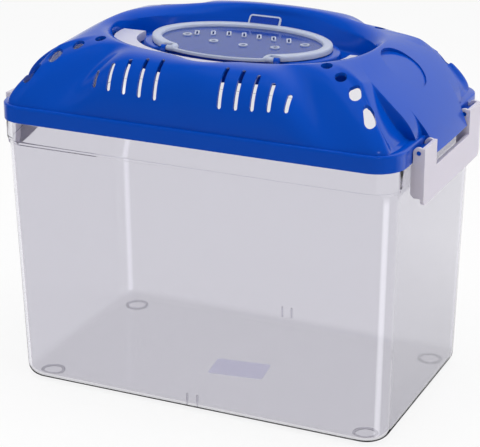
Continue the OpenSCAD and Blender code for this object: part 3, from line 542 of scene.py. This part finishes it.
class Station:
    """One flow line of the lid, from its foot on the skirt to the crest of the recess. It is
    worked out in the first quarter, and sx and sy say which quarter it stands in. In its
    points t runs from 0 at the dome's foot to 1 at the crest."""

    def __init__(self, along, sx, sy):
        self.along, self.sx, self.sy = along, sx, sy
        if along <= END_LEN:
            self.foot_turn = 0.0
            self.slide = (0.0, along)
            self.turn = math.asin(END_SHARE * along / END_LEN)
        elif along <= CORNER_END:
            share = (along - END_LEN) / CORNER_LEN
            self.foot_turn = share * math.pi / 2
            self.slide = (0.0, END_LEN)
            self.turn = mix(math.asin(END_SHARE), math.acos(SIDE_SHARE), share)
        else:
            share = 1 - (along - END_LEN - CORNER_LEN) / SIDE_LEN
            self.foot_turn = math.pi / 2
            self.slide = (SIDE_LEN * (share - 1), END_LEN)
            self.turn = math.acos(SIDE_SHARE * share)
        s = math.sin(self.turn) * sy
        self.crest = CREST_Z + (BACK_ARCH * s**ARCH_POWER if s > 0 else -FRONT_DIP * s * s)
        self.rim_x, self.rim_y = self.oval(CREST_A, CREST_B, CREST_POWER)
        self.finger = FINGER_DEEP * hump(FINGER_HALF, self.rim_x) if sy < 0 else 0.0
        self.rim_y += self.finger

    def box(self, inset):
        """The skirt's outline at an inset."""
        r = SKIRT_R - inset
        return (
            SIDE_LEN + self.slide[0] + r * math.cos(self.foot_turn),
            self.slide[1] + r * math.sin(self.foot_turn),
        )

    def oval(self, a, b, power=2.0):
        """A point of an oval, which a power above 2 makes squarer."""
        return a * math.cos(self.turn) ** (2 / power), b * math.sin(self.turn) ** (2 / power)

    def column(self, deep=0.0):
        """0 on the tongue and 1 beside it, with the step moved in by the wall inside."""
        return ease(TONGUE_HALF - deep - TONGUE_STEP, TONGUE_HALF - deep, self.along)

    def cheek_r(self):
        """The cheek's radius, a little less towards its edges."""
        return CHEEK_R - CHEEK_CROWN * min(1.0, self.along / CHEEK_HALF) ** CROWN_POWER

    def curve(self):
        """How full the section is here."""
        x = self.box(0)[0]
        if x < VALLEY_X:
            share = ease(PANEL_HALF, VALLEY_X, x) ** VALLEY_POWER
            return mix(PANEL_CURVE, VALLEY_CURVE, share)
        return mix(VALLEY_CURVE, RIDGE_CURVE, ease(VALLEY_X, SIDE_LEN, x))

    def cheek_point(self, t, deep):
        """The end's curve in side view, drawn in over the latch's arm beside the tongue."""
        r = self.cheek_r()
        foot_x = self.box(LEDGE)[0] - CHEEK_X
        column = self.column(deep)
        low = mix(math.acos(CHEEK_DOWN / r), math.atan2(foot_x, CHEEK_DOWN), column)
        high = math.asin((self.rim_x - CHEEK_X) / r)
        turn = mix(low, high, t)
        start = math.acos((COLUMN_UP + CHEEK_DOWN) / CHEEK_R)
        drawn = (r - math.hypot(foot_x, CHEEK_DOWN)) * column
        r_here = r - drawn * (max(0.0, turn - start) / (low - start)) ** 2
        top = CHEEK_Z + r * math.cos(high)
        z = CHEEK_Z + r_here * math.cos(turn) + (self.crest - top) * ease(CREST_FROM, 1.0, t)
        return CHEEK_X + r_here * math.sin(turn), z

    def bow(self, t):
        """How far the cheek widens above its foot."""
        rise = ease(0, CHEEK_HALF, self.along)
        fall = ease(CHEEK_EDGE, CORNER_END, self.along)
        return CHEEK_BOW * rise * (1 - fall) * math.sin(math.pi * t)

    def scallop(self, t, deep):
        """The hollow between the cheek's crisp edge and the corner ridge, inwards and down. It
        is level at its foot, where it leaves a wide ledge."""
        rise = ease(CHEEK_HALF - deep, CHEEK_EDGE - deep, self.along)
        fall = ease(*SCALLOP_FADES, self.along)
        share = min(1.0, t / SCALLOP_TOP) ** SCALLOP_POWER
        across = math.sin(math.pi * mix(SCALLOP_START, 1.0, share))
        depth = SCALLOP_DEEP * rise * (1 - fall) * across
        turn = mix(math.pi / 2, SCALLOP_TURN, ease(0, SCALLOP_LEVEL, t))
        return depth * math.sin(turn), depth * math.cos(turn)

    def bare_point(self, t, deep=0.0):
        """The outside of the dome: cheek, corner, ridge, valley or panel."""
        e = self.curve()
        foot = self.box(LEDGE)
        p = 1 - max(0.0, math.cos(math.pi / 2 * t)) ** e
        x = mix(foot[0], self.rim_x, p)
        z = mix(DOME_Z, self.crest, math.sin(math.pi / 2 * t) ** e)
        ridge = ease(RIDGE_FROM, RIDGE_FULL, self.along)
        share = p
        if ridge < 1:
            cheek = self.cheek_point(t, deep)
            x, z = mix(cheek[0], x, ridge), mix(cheek[1], z, ridge)
            share = min(1.0, max(0.0, (foot[0] - x) / (foot[0] - self.rim_x)))
        bend = mix(BEND_MOST, 1.0, ease(CHEEK_EDGE, RIDGE_FULL, self.along) ** BEND_POWER)
        y = mix(foot[1], self.rim_y, share**bend) + self.bow(t)
        inward, down = self.scallop(t, deep)
        return Vector((x - inward, y, z - down))

    def inner_point(self, t):
        """The inside of the dome, a wall's thickness in and down."""
        turn = math.pi / 2 * t
        wall = WALL + DISC_PAD * (1 - ease(DISC_R, DISC_R + DISC_FADE, self.along))
        inward = wall * math.cos(turn)
        side = Vector((inward * math.cos(self.foot_turn), inward * math.sin(self.foot_turn), 0))
        return self.bare_point(t, WALL) - side - Vector((0, 0, wall * math.sin(turn)))

    def skirt_point(self, z, inset, deep=0.0):
        """The skirt, which runs on down the cheek's curve at the tongue."""
        x, y = self.box(inset)
        r = self.cheek_r() - deep
        roll = CHEEK_X + math.sqrt(r * r - (z - CHEEK_Z) ** 2)
        if self.foot_turn == 0.0:
            x = mix(roll, x, self.column(deep))
        return Vector((x, y, z))

    def bowl_point(self, inset, z, lean, power=2.0):
        """The recess's wall at an inset, leaning in by a distance at the back."""
        x, y = self.oval(CREST_A - inset, CREST_B - inset, power)
        if self.sy > 0:
            y -= lean * math.sin(self.turn) ** 2
        return Vector((x, y + self.finger, z))

    def seat_point(self, inset, z):
        """The hatch's seat at an inset, cut straight in front."""
        x, y = self.oval(SEAT_A - inset, SEAT_B - inset)
        if self.sy < 0:
            y = min(y, SEAT_FRONT - SEAT_TAPER * inset)
        return Vector((x, y, z))


def lid_stations():
    """The flow lines right round the lid, quarter by quarter."""
    steps = []
    for (low, n), (high, _) in zip(FOOT_SPANS, FOOT_SPANS[1:]):
        steps += [mix(low, high, k / n) for k in range(n)]
    steps.append(FOOT_SPANS[-1][0])
    ring = [Station(along, 1, 1) for along in steps[:-1]]
    ring += [Station(along, -1, 1) for along in steps[:0:-1]]
    ring += [Station(along, -1, -1) for along in steps[:-1]]
    ring += [Station(along, 1, -1) for along in steps[:0:-1]]
    return ring


def lid_section(station):
    """The closed section of the lid at a station: up outside, over the lip and back below."""
    points = [station.skirt_point(SKIRT_Z, 0.0), station.skirt_point(DOME_Z - EDGE_DOWN, 0.0)]
    for turn in quarter(5)[1:-1]:
        z = DOME_Z - EDGE_R + EDGE_R * math.sin(turn)
        points.append(station.skirt_point(z, EDGE_R * (1 - math.cos(turn))))
    points += [station.bare_point(k / DOME_STEPS) for k in range(DOME_STEPS + 1)]
    for k, turn in enumerate(quarter(ROLL_STEPS)):
        if k:
            power = mix(CREST_POWER, 2.0, k / ROLL_STEPS)
            z = station.crest - ROLL_DOWN * (1 - math.cos(turn))
            points.append(station.bowl_point(ROLL_IN * math.sin(turn), z, 0.0, power))
    for k in range(1, BOWL_STEPS + 1):
        share = k / BOWL_STEPS
        z = mix(station.crest - ROLL_DOWN, MOAT_Z + BOWL_FOOT, share)
        points.append(station.bowl_point(mix(ROLL_IN, BOWL_IN, share), z, BACK_LEAN * share))
    points.append(station.bowl_point(BOWL_IN + BOWL_EASE, MOAT_Z + BOWL_EASE, BACK_LEAN))
    points.append(station.bowl_point(BOWL_IN + BOWL_FOOT, MOAT_Z, BACK_LEAN))
    points += [station.seat_point(inset, z) for inset, z in SEAT_SECTION]
    points.append(station.bowl_point(BOWL_IN - WALL, MOAT_Z - WALL, BACK_LEAN))
    z = mix(station.crest, MOAT_Z, TURN_DOWN)
    points.append(station.bowl_point(BOWL_IN - TURN_IN - WALL, z, BACK_LEAN / 2))
    for k in range(INNER_STEPS + 1):
        points.append(station.inner_point(mix(INNER_TOP, INNER_FOOT, k / INNER_STEPS)))
    points.append(station.skirt_point(DOME_Z - WALL, SKIRT_WALL, WALL))
    points.append(station.skirt_point(SKIRT_Z, SKIRT_WALL, WALL))
    return points


def build_lid():
    """The lid's shell, lofted round its sections."""
    sections = []
    for station in lid_stations():
        points = lid_section(station)
        sections.append([Vector((p.x * station.sx, p.y * station.sy, p.z)) for p in points])
    bm = bmesh.new()
    loft(bm, list(zip(*sections)), True)
    return new_piece("lid_moulding", bm, LID_MATERIAL, "lid", ["lid"])


# ---------------------------------------------------------------- the lid's vents and flats

# The slots on each side of a panel's middle. The last is shorter than the first by a share,
# and their feet follow the panel's bow.
SLOT_N, SLOT_R, SLOT_FIRST, SLOT_PITCH = 5, 1.5, 24.0, 11.8
SLOT_LONG, SLOT_LOSS, SLOT_LEAN, SLOT_DEEP = 29.0, 0.56, 64, 18.0
SLOT_IN, SLOT_UP, PANEL_BOW_R = 2.2, 17.0, 296.0

# The holes down a ridge: where the first is, the step to the next, and the last one's length.
HOLE_N, HOLE_R, HOLE_LONG, HOLE_TURN = 4, 4.0, 6.0, -28
HOLE_FIRST, HOLE_STEP, HOLE_FOOT, HOLE_DEEP = (85.0, 50.0), (13.1, 7.8), 218.0, 52.0

# How finely a flat's floor is divided, and how high its cutter stands clear of the cheek.
DISC_RINGS, DISC_CLEAR = 12, 8

BORE_R, BORE_END = 2.4, 102.5


def cut_panel_slots(bm):
    """Round-ended slots that lean back with the bulged panels, shorter towards the corners."""
    for k in range(SLOT_N):
        x = SLOT_FIRST + SLOT_PITCH * k
        long = SLOT_LONG * (1 - SLOT_LOSS * (k / (SLOT_N - 1)) ** 2)
        spot = (x, SLOT_IN + x * x / (2 * PANEL_BOW_R) - SKIRT_Y, DOME_Z + SLOT_UP)
        for sx, sy in QUARTERS:
            verts = round_bar(bm, SLOT_R, long - 2 * SLOT_R, SLOT_DEEP)
            bmesh.ops.translate(bm, vec=(0, SLOT_R, -SLOT_DEEP / 2), verts=verts)
            place(bm, verts, [(SLOT_LEAN, "X")], spot, (sx, sy, 1))


def cut_ridge_holes(bm):
    """Holes straight down through each corner ridge, drawn out where the ridge falls away."""
    for k in range(HOLE_N):
        long = HOLE_LONG * (k / (HOLE_N - 1)) ** 2 + 0.01
        x, y = [first + step * k for first, step in zip(HOLE_FIRST, HOLE_STEP)]
        for sx, sy in QUARTERS:
            verts = round_bar(bm, HOLE_R, long, HOLE_DEEP)
            place(bm, verts, [(HOLE_TURN, "Z")], (x, y, HOLE_FOOT), (sx, sy, 1))


def cut_cheek_discs(bm):
    """The shallow round flat on each cheek: its floor keeps the cheek's curve."""
    section = [(DISC_R * k / DISC_RINGS, 0) for k in range(DISC_RINGS + 1)]
    section += [(DISC_R, DISC_CLEAR), (0, DISC_CLEAR)]
    for sx in SIDES:
        rings = []
        for radius, height in section:
            ring = []
            for u, v, _ in oval_ring(radius, radius, 0, 96):
                h = math.sqrt((CHEEK_R - DISC_DEEP) ** 2 - u * u) + height
                x = CHEEK_X + u * math.cos(DISC_SLOPE) + h * math.sin(DISC_SLOPE)
                z = CHEEK_Z - u * math.sin(DISC_SLOPE) + h * math.cos(DISC_SLOPE)
                ring.append((sx * x, v, z))
            rings.append(ring)
        loft(bm, rings, False)


def cut_handle_bores(bm):
    """The bores that the handle's stubs turn in, through the ends of the bowl."""
    for sx in SIDES:
        low = (sx * (HANDLE_OUT - 0.5), PIVOT_Y, PIVOT_Z)
        rod(bm, BORE_R, low, (sx * BORE_END, PIVOT_Y, PIVOT_Z))


def finish_lid(lid):
    """Takes the vents, the flats and the bores out of the shell."""
    bm = bmesh.new()
    cut_panel_slots(bm)
    cut_ridge_holes(bm)
    cut_cheek_discs(bm)
    cut_handle_bores(bm)
    bmesh.ops.remove_doubles(bm, verts=bm.verts, dist=FINE_WELD)
    cut(lid, bm)
    smooth(lid, 38)


# ---------------------------------------------------------------- the lid's fittings

BAR_R, BAR_X, BAR_Y, BAR_Z = 1.6, 154.3, (35.9, 59.6), 208.3
WEB_X, WEB_Y, WEB_FOOT, WEB_EDGE = (148.9, 155.3), (38.0, 57.5), 203.8, 0.3
LUG_R, LUG_X, LUG_DEEP, LUG_WIDE = 2.1, 41.08, 9.0, 3.4
BOSS_R, BOSS_IN, BOSS_END = 4.6, 2.6, 103.6


def build_lid_fittings():
    """What the moving pieces turn on: latch bars with their webs, lugs and pivot bosses."""
    bm = bmesh.new()
    for sx in SIDES:
        for sy in SIDES:
            near, far = [(sx * BAR_X, sy * y, BAR_Z) for y in BAR_Y]
            rod(bm, BAR_R, near, far)
            xs, ys = [sx * x for x in WEB_X], [sy * y for y in WEB_Y]
            block(bm, xs, ys, (WEB_FOOT, BAR_Z), WEB_EDGE)
        verts = round_bar(bm, LUG_R, LUG_DEEP, LUG_WIDE)
        place(bm, verts, [(-90, "X"), (-90, "Z")], (LUG_X, HINGE_Y, HINGE_Z), (sx, 1, 1))
        low = (sx * (HANDLE_OUT + BOSS_IN), PIVOT_Y, PIVOT_Z)
        rod(bm, BOSS_R, low, (sx * BOSS_END, PIVOT_Y, PIVOT_Z), 40)
    fittings = new_piece("lid_fittings", bm, LID_MATERIAL, "lid")
    smooth(fittings, 38)


finish_lid(build_lid())
build_lid_fittings()


# ---------------------------------------------------------------- the hatch

HATCH_A, HATCH_B, HATCH_Z, PLATE_TOP, PLATE_IN = 67.0, 44.5, 250.3, 252.1, 1.0
ON_PLATE = PLATE_TOP + 0.02

# The rim: in front it has a thin share of its width, and it widens between two x.
RIM_WIDE, RIM_TOP, RIM_DOWN, RIM_IN = 7.0, 254.6, 1.4, 1.05
RIM_THIN, RIM_WIDENS, RIM_LOW = 0.3, (33, 38), 0.6
RIM_SECTION = (
    (0.0, PLATE_TOP - RIM_DOWN),
    (0.0, RIM_TOP - 1.2),
    (0.3, RIM_TOP - 0.5),
    (1.0, RIM_TOP),
    (RIM_WIDE - 1.2, RIM_TOP),
    (RIM_WIDE - 0.4, RIM_TOP - 0.4),
    (RIM_WIDE, RIM_TOP - 1.2),
    (RIM_WIDE, ON_PLATE),
    (RIM_IN, ON_PLATE),
    (RIM_IN, PLATE_TOP - RIM_DOWN),
)

# The middles of the slots and of the round vents, each on an arc, and their sizes.
GRILLE = ((-37, 8), (-26, 12), (-15, 15), (-3.6, 16), (8.4, 15.5), (20, 14.7), (32, 14))
VENTS = ((-43, 1), (-18, -8), (5.6, -9.9), (28.7, -6.8), (45, 8))
GRILLE_TURN, GRILLE_LONG, GRILLE_R, VENT_R = 24, 8.0, 0.7, 2.0
GRILLE_COLLAR_R, VENT_COLLAR_R, COLLAR_HIGH = 1.7, 3.3, 0.8

# The knuckles and the stubs beyond them, and the gaps in the plate and the rim for the lugs.
KNUCKLE_R, KNUCKLE_X, STUB_R, STUB_X = 2.0, (33.4, 40.5), 1.3, (40.4, 43.9)
GAP_X, GAP_HALF = (36.9, 44.9), 3.1

# The finger tab: half its width, its reach, its root, and the frosted margin round it.
TAB_HALF, TAB_LONG, TAB_ROOT, TAB_THICK, TAB_CORNER = 12.5, 9, 2, 1.4, 2.5
TAB_MARGIN, TAB_LEAN, TAB_X, TAB_IN = 1.2, 52, -2, 2.25


def rim_ring(inset, z):
    """The rim is broad and high round the ends and the back, and a thin line in front."""
    ring = []
    for x, y, _ in oval_ring(HATCH_A, HATCH_B, 0):
        full = ease(*RIM_WIDENS, abs(x)) if y < 0 else 1.0
        width = inset * mix(RIM_THIN, 1.0, full)
        low = z
        if z > PLATE_TOP:
            low = min(z, PLATE_TOP + RIM_LOW + (z - RIM_TOP) * 0.5)
        ring.append((x * (1 - width / HATCH_A), y * (1 - width / HATCH_B), mix(low, z, full)))
    return ring


def knuckle_gaps(bm):
    """Room for the lid's lugs in the plate and in the rim."""
    for sx in SIDES:
        ys = (HINGE_Y - GAP_HALF, HINGE_Y + GAP_HALF)
        block(bm, [sx * x for x in GAP_X], ys, (HATCH_Z - 1, RIM_TOP + 1))


def vent_bars(bm, slot_r, hole_r, low, high):
    """The hatch's short slots and round holes, as bars of a given size."""
    for x, y in GRILLE:
        verts = round_bar(bm, slot_r, GRILLE_LONG, high - low)
        place(bm, verts, [(GRILLE_TURN, "Z")], (x, y - GRILLE_LONG / 2, low))
    for x, y in VENTS:
        rod(bm, hole_r, (x, y, low), (x, y, high))


def tab_plate(inset, deeper=0.0):
    """The finger tab's plate, less a margin round it, leaning back from the hatch."""
    bm = bmesh.new()
    half = TAB_HALF - inset
    block(bm, (-half, half), (-TAB_ROOT, TAB_LONG - inset), (-deeper, TAB_THICK + deeper))
    corners = [e for e in upright_edges(bm) if e.verts[0].co.y > 1]
    round_edges(bm, corners, TAB_CORNER - inset, 6)
    place(bm, bm.verts, [(TAB_LEAN, "X")], (TAB_X, HATCH_B - TAB_IN, PLATE_TOP))
    return bm


def build_plate():
    """The clear plate, open at its vents and at the lugs."""
    a, b = HATCH_A - PLATE_IN, HATCH_B - PLATE_IN
    rings = [oval_ring(POINT, POINT, HATCH_Z), oval_ring(a, b, HATCH_Z)]
    rings += [oval_ring(a, b, PLATE_TOP), oval_ring(POINT, POINT, PLATE_TOP)]
    bm = bmesh.new()
    loft(bm, rings, False)
    plate = new_piece("hatch_plate", bm, HATCH_MATERIAL, "hatch", ["hatch"])
    bm = bmesh.new()
    vent_bars(bm, GRILLE_R, VENT_R, HATCH_Z - 1, PLATE_TOP + 2)
    knuckle_gaps(bm)
    cut(plate, bm)
    smooth(plate, 30)


def build_rim():
    """The frosted rim on the plate's edge."""
    bm = bmesh.new()
    loft(bm, [rim_ring(inset, z) for inset, z in RIM_SECTION], True)
    rim = new_piece("hatch_rim", bm, FROSTED_MATERIAL, "hatch")
    bm = bmesh.new()
    knuckle_gaps(bm)
    cut(rim, bm)
    smooth(rim, 40)


def build_vent_collars():
    """The frosted collars that stand round the vents."""
    bm = bmesh.new()
    vent_bars(bm, GRILLE_COLLAR_R, VENT_COLLAR_R, ON_PLATE, PLATE_TOP + COLLAR_HIGH)
    collars = new_piece("hatch_vent_collars", bm, FROSTED_MATERIAL, "hatch")
    bm = bmesh.new()
    vent_bars(bm, GRILLE_R, VENT_R, HATCH_Z - 1, PLATE_TOP + 2)
    cut(collars, bm)
    smooth(collars, 30)


def build_knuckles():
    """The knuckles and stubs that the hatch turns on."""
    bm = bmesh.new()
    for sx in SIDES:
        for radius, xs in ((KNUCKLE_R, KNUCKLE_X), (STUB_R, STUB_X)):
            near, far = [(sx * x, HINGE_Y, HINGE_Z) for x in xs]
            rod(bm, radius, near, far)
    knuckles = new_piece("hatch_knuckles", bm, FROSTED_MATERIAL, "hatch")
    smooth(knuckles, 40)


def build_tab():
    """The clear finger tab in its frosted frame."""
    tab = new_piece("hatch_tab", tab_plate(TAB_MARGIN), HATCH_MATERIAL, "hatch")
    smooth(tab, 30)
    bm = tab_plate(0.0)
    margin = new_piece("hatch_tab_frame", bm, FROSTED_MATERIAL, "hatch")
    cut(margin, tab_plate(TAB_MARGIN, 1.0))
    smooth(margin, 30)


build_plate()
build_rim()
build_vent_collars()
build_knuckles()
build_tab()


# ---------------------------------------------------------------- the tank

FILLET, UPSTAND_IN, CORNER_STEPS = 8.0, 2.8, 14

# The bead below the collar: how far down it starts, and is full. The collar's foot is rounded,
# and so are the edges of its shoulder and of the mouth.
BEAD_FROM, BEAD_FULL, BEAD_OUT = 2.4, (1.6, 0.2), 0.6
COLLAR_OUT, COLLAR_ROLL, SHOULDER_R, MOUTH_R = 1.75, 1.4, 0.5, 0.4

# The foot pads' section, as radius and height, and the pairs of ribs low on the long walls.
PAD_X, PAD_Y = 125, 66.85
PAD_SECTION = ((9, 0.98), (9, 0.3), (8.7, 0), (7.3, 0), (7, 0.3), (7, 0.98))
RIB_X, RIB_HALF, RIB_Y, RIB_Z, RIB_EDGE = 4, 0.7, (85.0, 85.9), (5.8, 14.8), 0.25


def box_ring(half_x, half_y, r, z):
    """A rounded rectangle, with its corners in fine steps."""
    ring = []
    for q in range(4):
        sx, sy = (1 if q in (0, 3) else -1), (1 if q < 2 else -1)
        for k in range(CORNER_STEPS + 1):
            turn = math.pi / 2 * (q + k / CORNER_STEPS)
            x = sx * (half_x - r) + r * math.cos(turn)
            y = sy * (half_y - r) + r * math.sin(turn)
            ring.append((x, y, z))
    return ring


def wall_ring(z, inset):
    """The drafted walls at a height."""
    draft = DRAFT * min(1.0, max(0.0, (COLLAR_Z - z) / (COLLAR_Z - FOOT_Z)))
    return box_ring(TANK_X - draft - inset, TANK_Y - draft - inset, TANK_R - inset, z)


def upstand_ring(z, inset):
    """The upstand inside the lid's skirt at a height."""
    inset += UPSTAND_IN
    return box_ring(SKIRT_X - inset, SKIRT_Y - inset, SKIRT_R - inset, z)


def fillet_rings(r, z, inset):
    """The rounded edge between the floor and the walls."""
    return [
        wall_ring(z + r * (1 - math.cos(turn)), inset + r * (1 - math.sin(turn)))
        for turn in quarter(9)
    ]


def build_tank():
    """The clear shell: a tapered box with a collar, an upstand and rounded floor edges."""
    rings = [box_ring(POINT, POINT, POINT, FOOT_Z)] + fillet_rings(FILLET, FOOT_Z, 0)
    rings.append(wall_ring(COLLAR_Z - BEAD_FROM, 0))
    rings += [wall_ring(COLLAR_Z - below, -BEAD_OUT) for below in BEAD_FULL]
    for turn in quarter(4):
        z = COLLAR_Z + COLLAR_ROLL * (1 - math.cos(turn))
        rings.append(wall_ring(z, 1 - COLLAR_OUT - math.sin(turn)))
    for turn in quarter(3):
        z = SHOULDER_Z - SHOULDER_R + SHOULDER_R * math.sin(turn)
        rings.append(wall_ring(z, -COLLAR_OUT + SHOULDER_R * (1 - math.cos(turn))))
    rings += [upstand_ring(SHOULDER_Z, 0), upstand_ring(TANK_Z - MOUTH_R, 0)]
    rings += [upstand_ring(TANK_Z, MOUTH_R), upstand_ring(TANK_Z, TANK_WALL - MOUTH_R)]
    rings += [upstand_ring(TANK_Z - MOUTH_R, TANK_WALL), upstand_ring(SHOULDER_Z, TANK_WALL)]
    rings.append(wall_ring(COLLAR_Z, TANK_WALL))
    rings += fillet_rings(FILLET - TANK_WALL, FLOOR_Z, TANK_WALL)[::-1]
    rings.append(box_ring(POINT, POINT, POINT, FLOOR_Z))
    bm = bmesh.new()
    loft(bm, rings, False)
    tank = new_piece("tank_moulding", bm, TANK_MATERIAL, "tank", ["tank"])
    smooth(tank, 32)


def build_feet():
    """The raised ring of each foot pad, and the pairs of short ribs low on the long walls."""
    bm = bmesh.new()
    for sx in SIDES:
        for sy in SIDES:
            rings = []
            for radius, height in PAD_SECTION:
                ring = oval_ring(radius, radius, height, 48)
                rings.append([(sx * PAD_X + x, sy * PAD_Y + y, z) for x, y, z in ring])
            loft(bm, rings, True)
        for sy in SIDES:
            xs = (sx * RIB_X - RIB_HALF, sx * RIB_X + RIB_HALF)
            block(bm, xs, [sy * y for y in RIB_Y], RIB_Z, RIB_EDGE)
    feet = new_piece("tank_feet", bm, TANK_MATERIAL, "tank")
    smooth(feet, 32)


build_tank()
build_feet()


# ---------------------------------------------------------------- the label

LABEL_HALVES, LABEL_CORNER = (21, 13, 0.1), 2
LABEL_TURN, LABEL_SPOT = 8, (2, -9, 0.85)


def build_label():
    """A blank paper label on the underside of the floor."""
    bm = bmesh.new()
    block(bm, *[(-half, half) for half in LABEL_HALVES])
    round_edges(bm, upright_edges(bm), LABEL_CORNER, 4)
    place(bm, bm.verts, [(LABEL_TURN, "Z")], LABEL_SPOT)
    new_piece("floor_label", bm, LABEL_MATERIAL, "tank")


build_label()


# ---------------------------------------------------------------- camera

AZIMUTH, ELEVATION, ROLL = map(math.radians, (23.744, 20.852, 0.217))
DISTANCE = 1260.35 * MM
TARGET = Vector((24.188, 0, 116.152)) * MM
FRAME_PX, CENTRE_PX, FOCAL_PX = (480, 447), (272.35, 226.88), 1734.32
SENSOR = 36


def place_camera():
    """The camera, from its turns round the target and its optical centre in the frame."""
    back = Vector(
        (
            math.sin(AZIMUTH) * math.cos(ELEVATION),
            -math.cos(AZIMUTH) * math.cos(ELEVATION),
            math.sin(ELEVATION),
        )
    )
    right = (-back).cross(Vector((0, 0, 1))).normalized()
    up = right.cross(-back)
    across = right * math.cos(ROLL) + up * math.sin(ROLL)
    above = -right * math.sin(ROLL) + up * math.cos(ROLL)
    camera = bpy.data.objects.new("camera", bpy.data.cameras.new("camera"))
    bpy.context.scene.collection.objects.link(camera)
    turn = Matrix((across, above, back)).transposed().to_4x4()
    camera.matrix_world = Matrix.Translation(TARGET + back * DISTANCE) @ turn
    camera.data.sensor_width = SENSOR
    camera.data.lens = FOCAL_PX * SENSOR / FRAME_PX[0]
    camera.data.shift_x = -(CENTRE_PX[0] - FRAME_PX[0] / 2) / FRAME_PX[0]
    camera.data.shift_y = (CENTRE_PX[1] - FRAME_PX[1] / 2) / FRAME_PX[0]
    camera.data.clip_start, camera.data.clip_end = 0.05, 50
    bpy.context.scene.camera = camera


place_camera()


# ---------------------------------------------------------------- floor and light

FLOOR_HALF = 6.0  # m
CAMERA_SHARE, THROUGH_SHARE, GLOSS_SHARE = 0.86, 0.6, 0.97  # of backdrop in the floor
WHITE = (1, 1, 1, 1)


def build_floor():
    """A white floor that shows as the white backdrop but keeps the keeper's shadow. In
    reflections it is dark in front and bright behind, as on a table before a dark room."""
    bm = bmesh.new()
    bmesh.ops.create_grid(bm, x_segments=1, y_segments=1, size=FLOOR_HALF)
    mesh = bpy.data.meshes.new("floor")
    bm.to_mesh(mesh)
    bm.free()
    floor = bpy.data.objects.new("floor", mesh)
    bpy.context.scene.collection.objects.link(floor)
    material, tree, out = new_material("matt_white_paint_floor")
    path = add(tree, "ShaderNodeLightPath")
    seen = add(
        tree,
        "ShaderNodeMath",
        {"operation": "MAXIMUM"},
        {0: (path, "Is Camera Ray"), 1: (path, "Is Transmission Ray")},
    )
    bare, through, dull = [
        add(tree, "ShaderNodeMath", {"operation": "MULTIPLY", 1: part}, {0: (path, ray)})
        for ray, part in (
            ("Is Camera Ray", CAMERA_SHARE),
            ("Is Transmission Ray", THROUGH_SHARE),
            ("Is Glossy Ray", GLOSS_SHARE),
        )
    ]
    white = add(tree, "ShaderNodeMath", {"operation": "MAXIMUM"}, {0: (bare, 0), 1: (through, 0)})
    share = add(tree, "ShaderNodeMath", {"operation": "MAXIMUM"}, {0: (white, 0), 1: (dull, 0)})
    coords = add(tree, "ShaderNodeTexCoord")
    parts = add(tree, "ShaderNodeSeparateXYZ", None, {0: (coords, "Object")})
    back = add(
        tree,
        "ShaderNodeMapRange",
        {"From Min": -0.05, "From Max": 0.3, "To Min": 0.03, "To Max": 0.9},
        {"Value": (parts, "Y")},
    )
    level = add(tree, "ShaderNodeMath", {"operation": "MAXIMUM"}, {0: (seen, 0), 1: (back, 0)})
    paint = add(tree, "ShaderNodeBsdfDiffuse", {"Color": srgb("#F2F2F2")})
    glow = add(tree, "ShaderNodeEmission", {"Color": WHITE}, {"Strength": (level, 0)})
    both = add(tree, "ShaderNodeMixShader", None, {0: (share, 0), 1: (paint, 0), 2: (glow, 0)})
    tree.links.new(both.outputs[0], out.inputs["Surface"])
    mesh.materials.append(material)


def build_world():
    """White to the eye and through clear plastic; dimmer in front for what is glossy."""
    world = bpy.data.worlds.new("studio")
    bpy.context.scene.world = world
    world.use_nodes = True
    tree = world.node_tree
    tree.nodes.clear()
    path = add(tree, "ShaderNodeLightPath")
    coords = add(tree, "ShaderNodeTexCoord")
    parts = add(tree, "ShaderNodeSeparateXYZ", None, {0: (coords, "Generated")})
    front = add(
        tree,
        "ShaderNodeMapRange",
        {"From Min": 0.1, "From Max": 0.75, "To Min": 0.02, "To Max": 0.72},
        {"Value": (parts, "Y")},
    )
    soft = add(tree, "ShaderNodeBackground", {"Color": WHITE, "Strength": 0.5})
    gloss = add(tree, "ShaderNodeBackground", {"Color": WHITE}, {"Strength": (front, 0)})
    white = add(tree, "ShaderNodeBackground", {"Color": WHITE, "Strength": 1.0})
    glossy = (path, "Is Glossy Ray")
    shine = add(tree, "ShaderNodeMixShader", None, {0: glossy, 1: (soft, 0), 2: (gloss, 0)})
    seen = add(
        tree,
        "ShaderNodeMath",
        {"operation": "MAXIMUM"},
        {0: (path, "Is Camera Ray"), 1: (path, "Is Transmission Ray")},
    )
    last = add(tree, "ShaderNodeMixShader", None, {0: (seen, 0), 1: (shine, 0), 2: (white, 0)})
    out = tree.nodes.new("ShaderNodeOutputWorld")
    tree.links.new(last.outputs[0], out.inputs["Surface"])


def soft_box(name, spot, aim, size, power, glints=False):
    """A soft lamp; only one that glints is seen as a highlight in the gloss."""
    lamp = bpy.data.lights.new(name, "AREA")
    lamp.shape = "RECTANGLE"
    lamp.size, lamp.size_y = size
    lamp.energy = power
    holder = bpy.data.objects.new(name, lamp)
    bpy.context.scene.collection.objects.link(holder)
    holder.location = spot
    holder.visible_glossy = glints
    holder.rotation_euler = (Vector(aim) - Vector(spot)).to_track_quat("-Z", "Y").to_euler()


build_floor()
build_world()
soft_box("top_soft_box", (0.1, -0.1, 1.5), (0, 0, 0.15), (1.4, 1.0), 11)
soft_box("right_soft_box", (1.5, 0.1, 0.8), (0, 0, 0.15), (1.0, 1.0), 8)
soft_box("left_soft_box", (-1.3, -0.7, 0.9), (0, 0, 0.15), (0.8, 0.9), 4)
soft_box("front_glint", (1.0, -1.65, 0.65), (0, 0, 0.2), (0.16, 0.16), 0.5, True)

bpy.context.scene.view_settings.view_transform = "Standard"
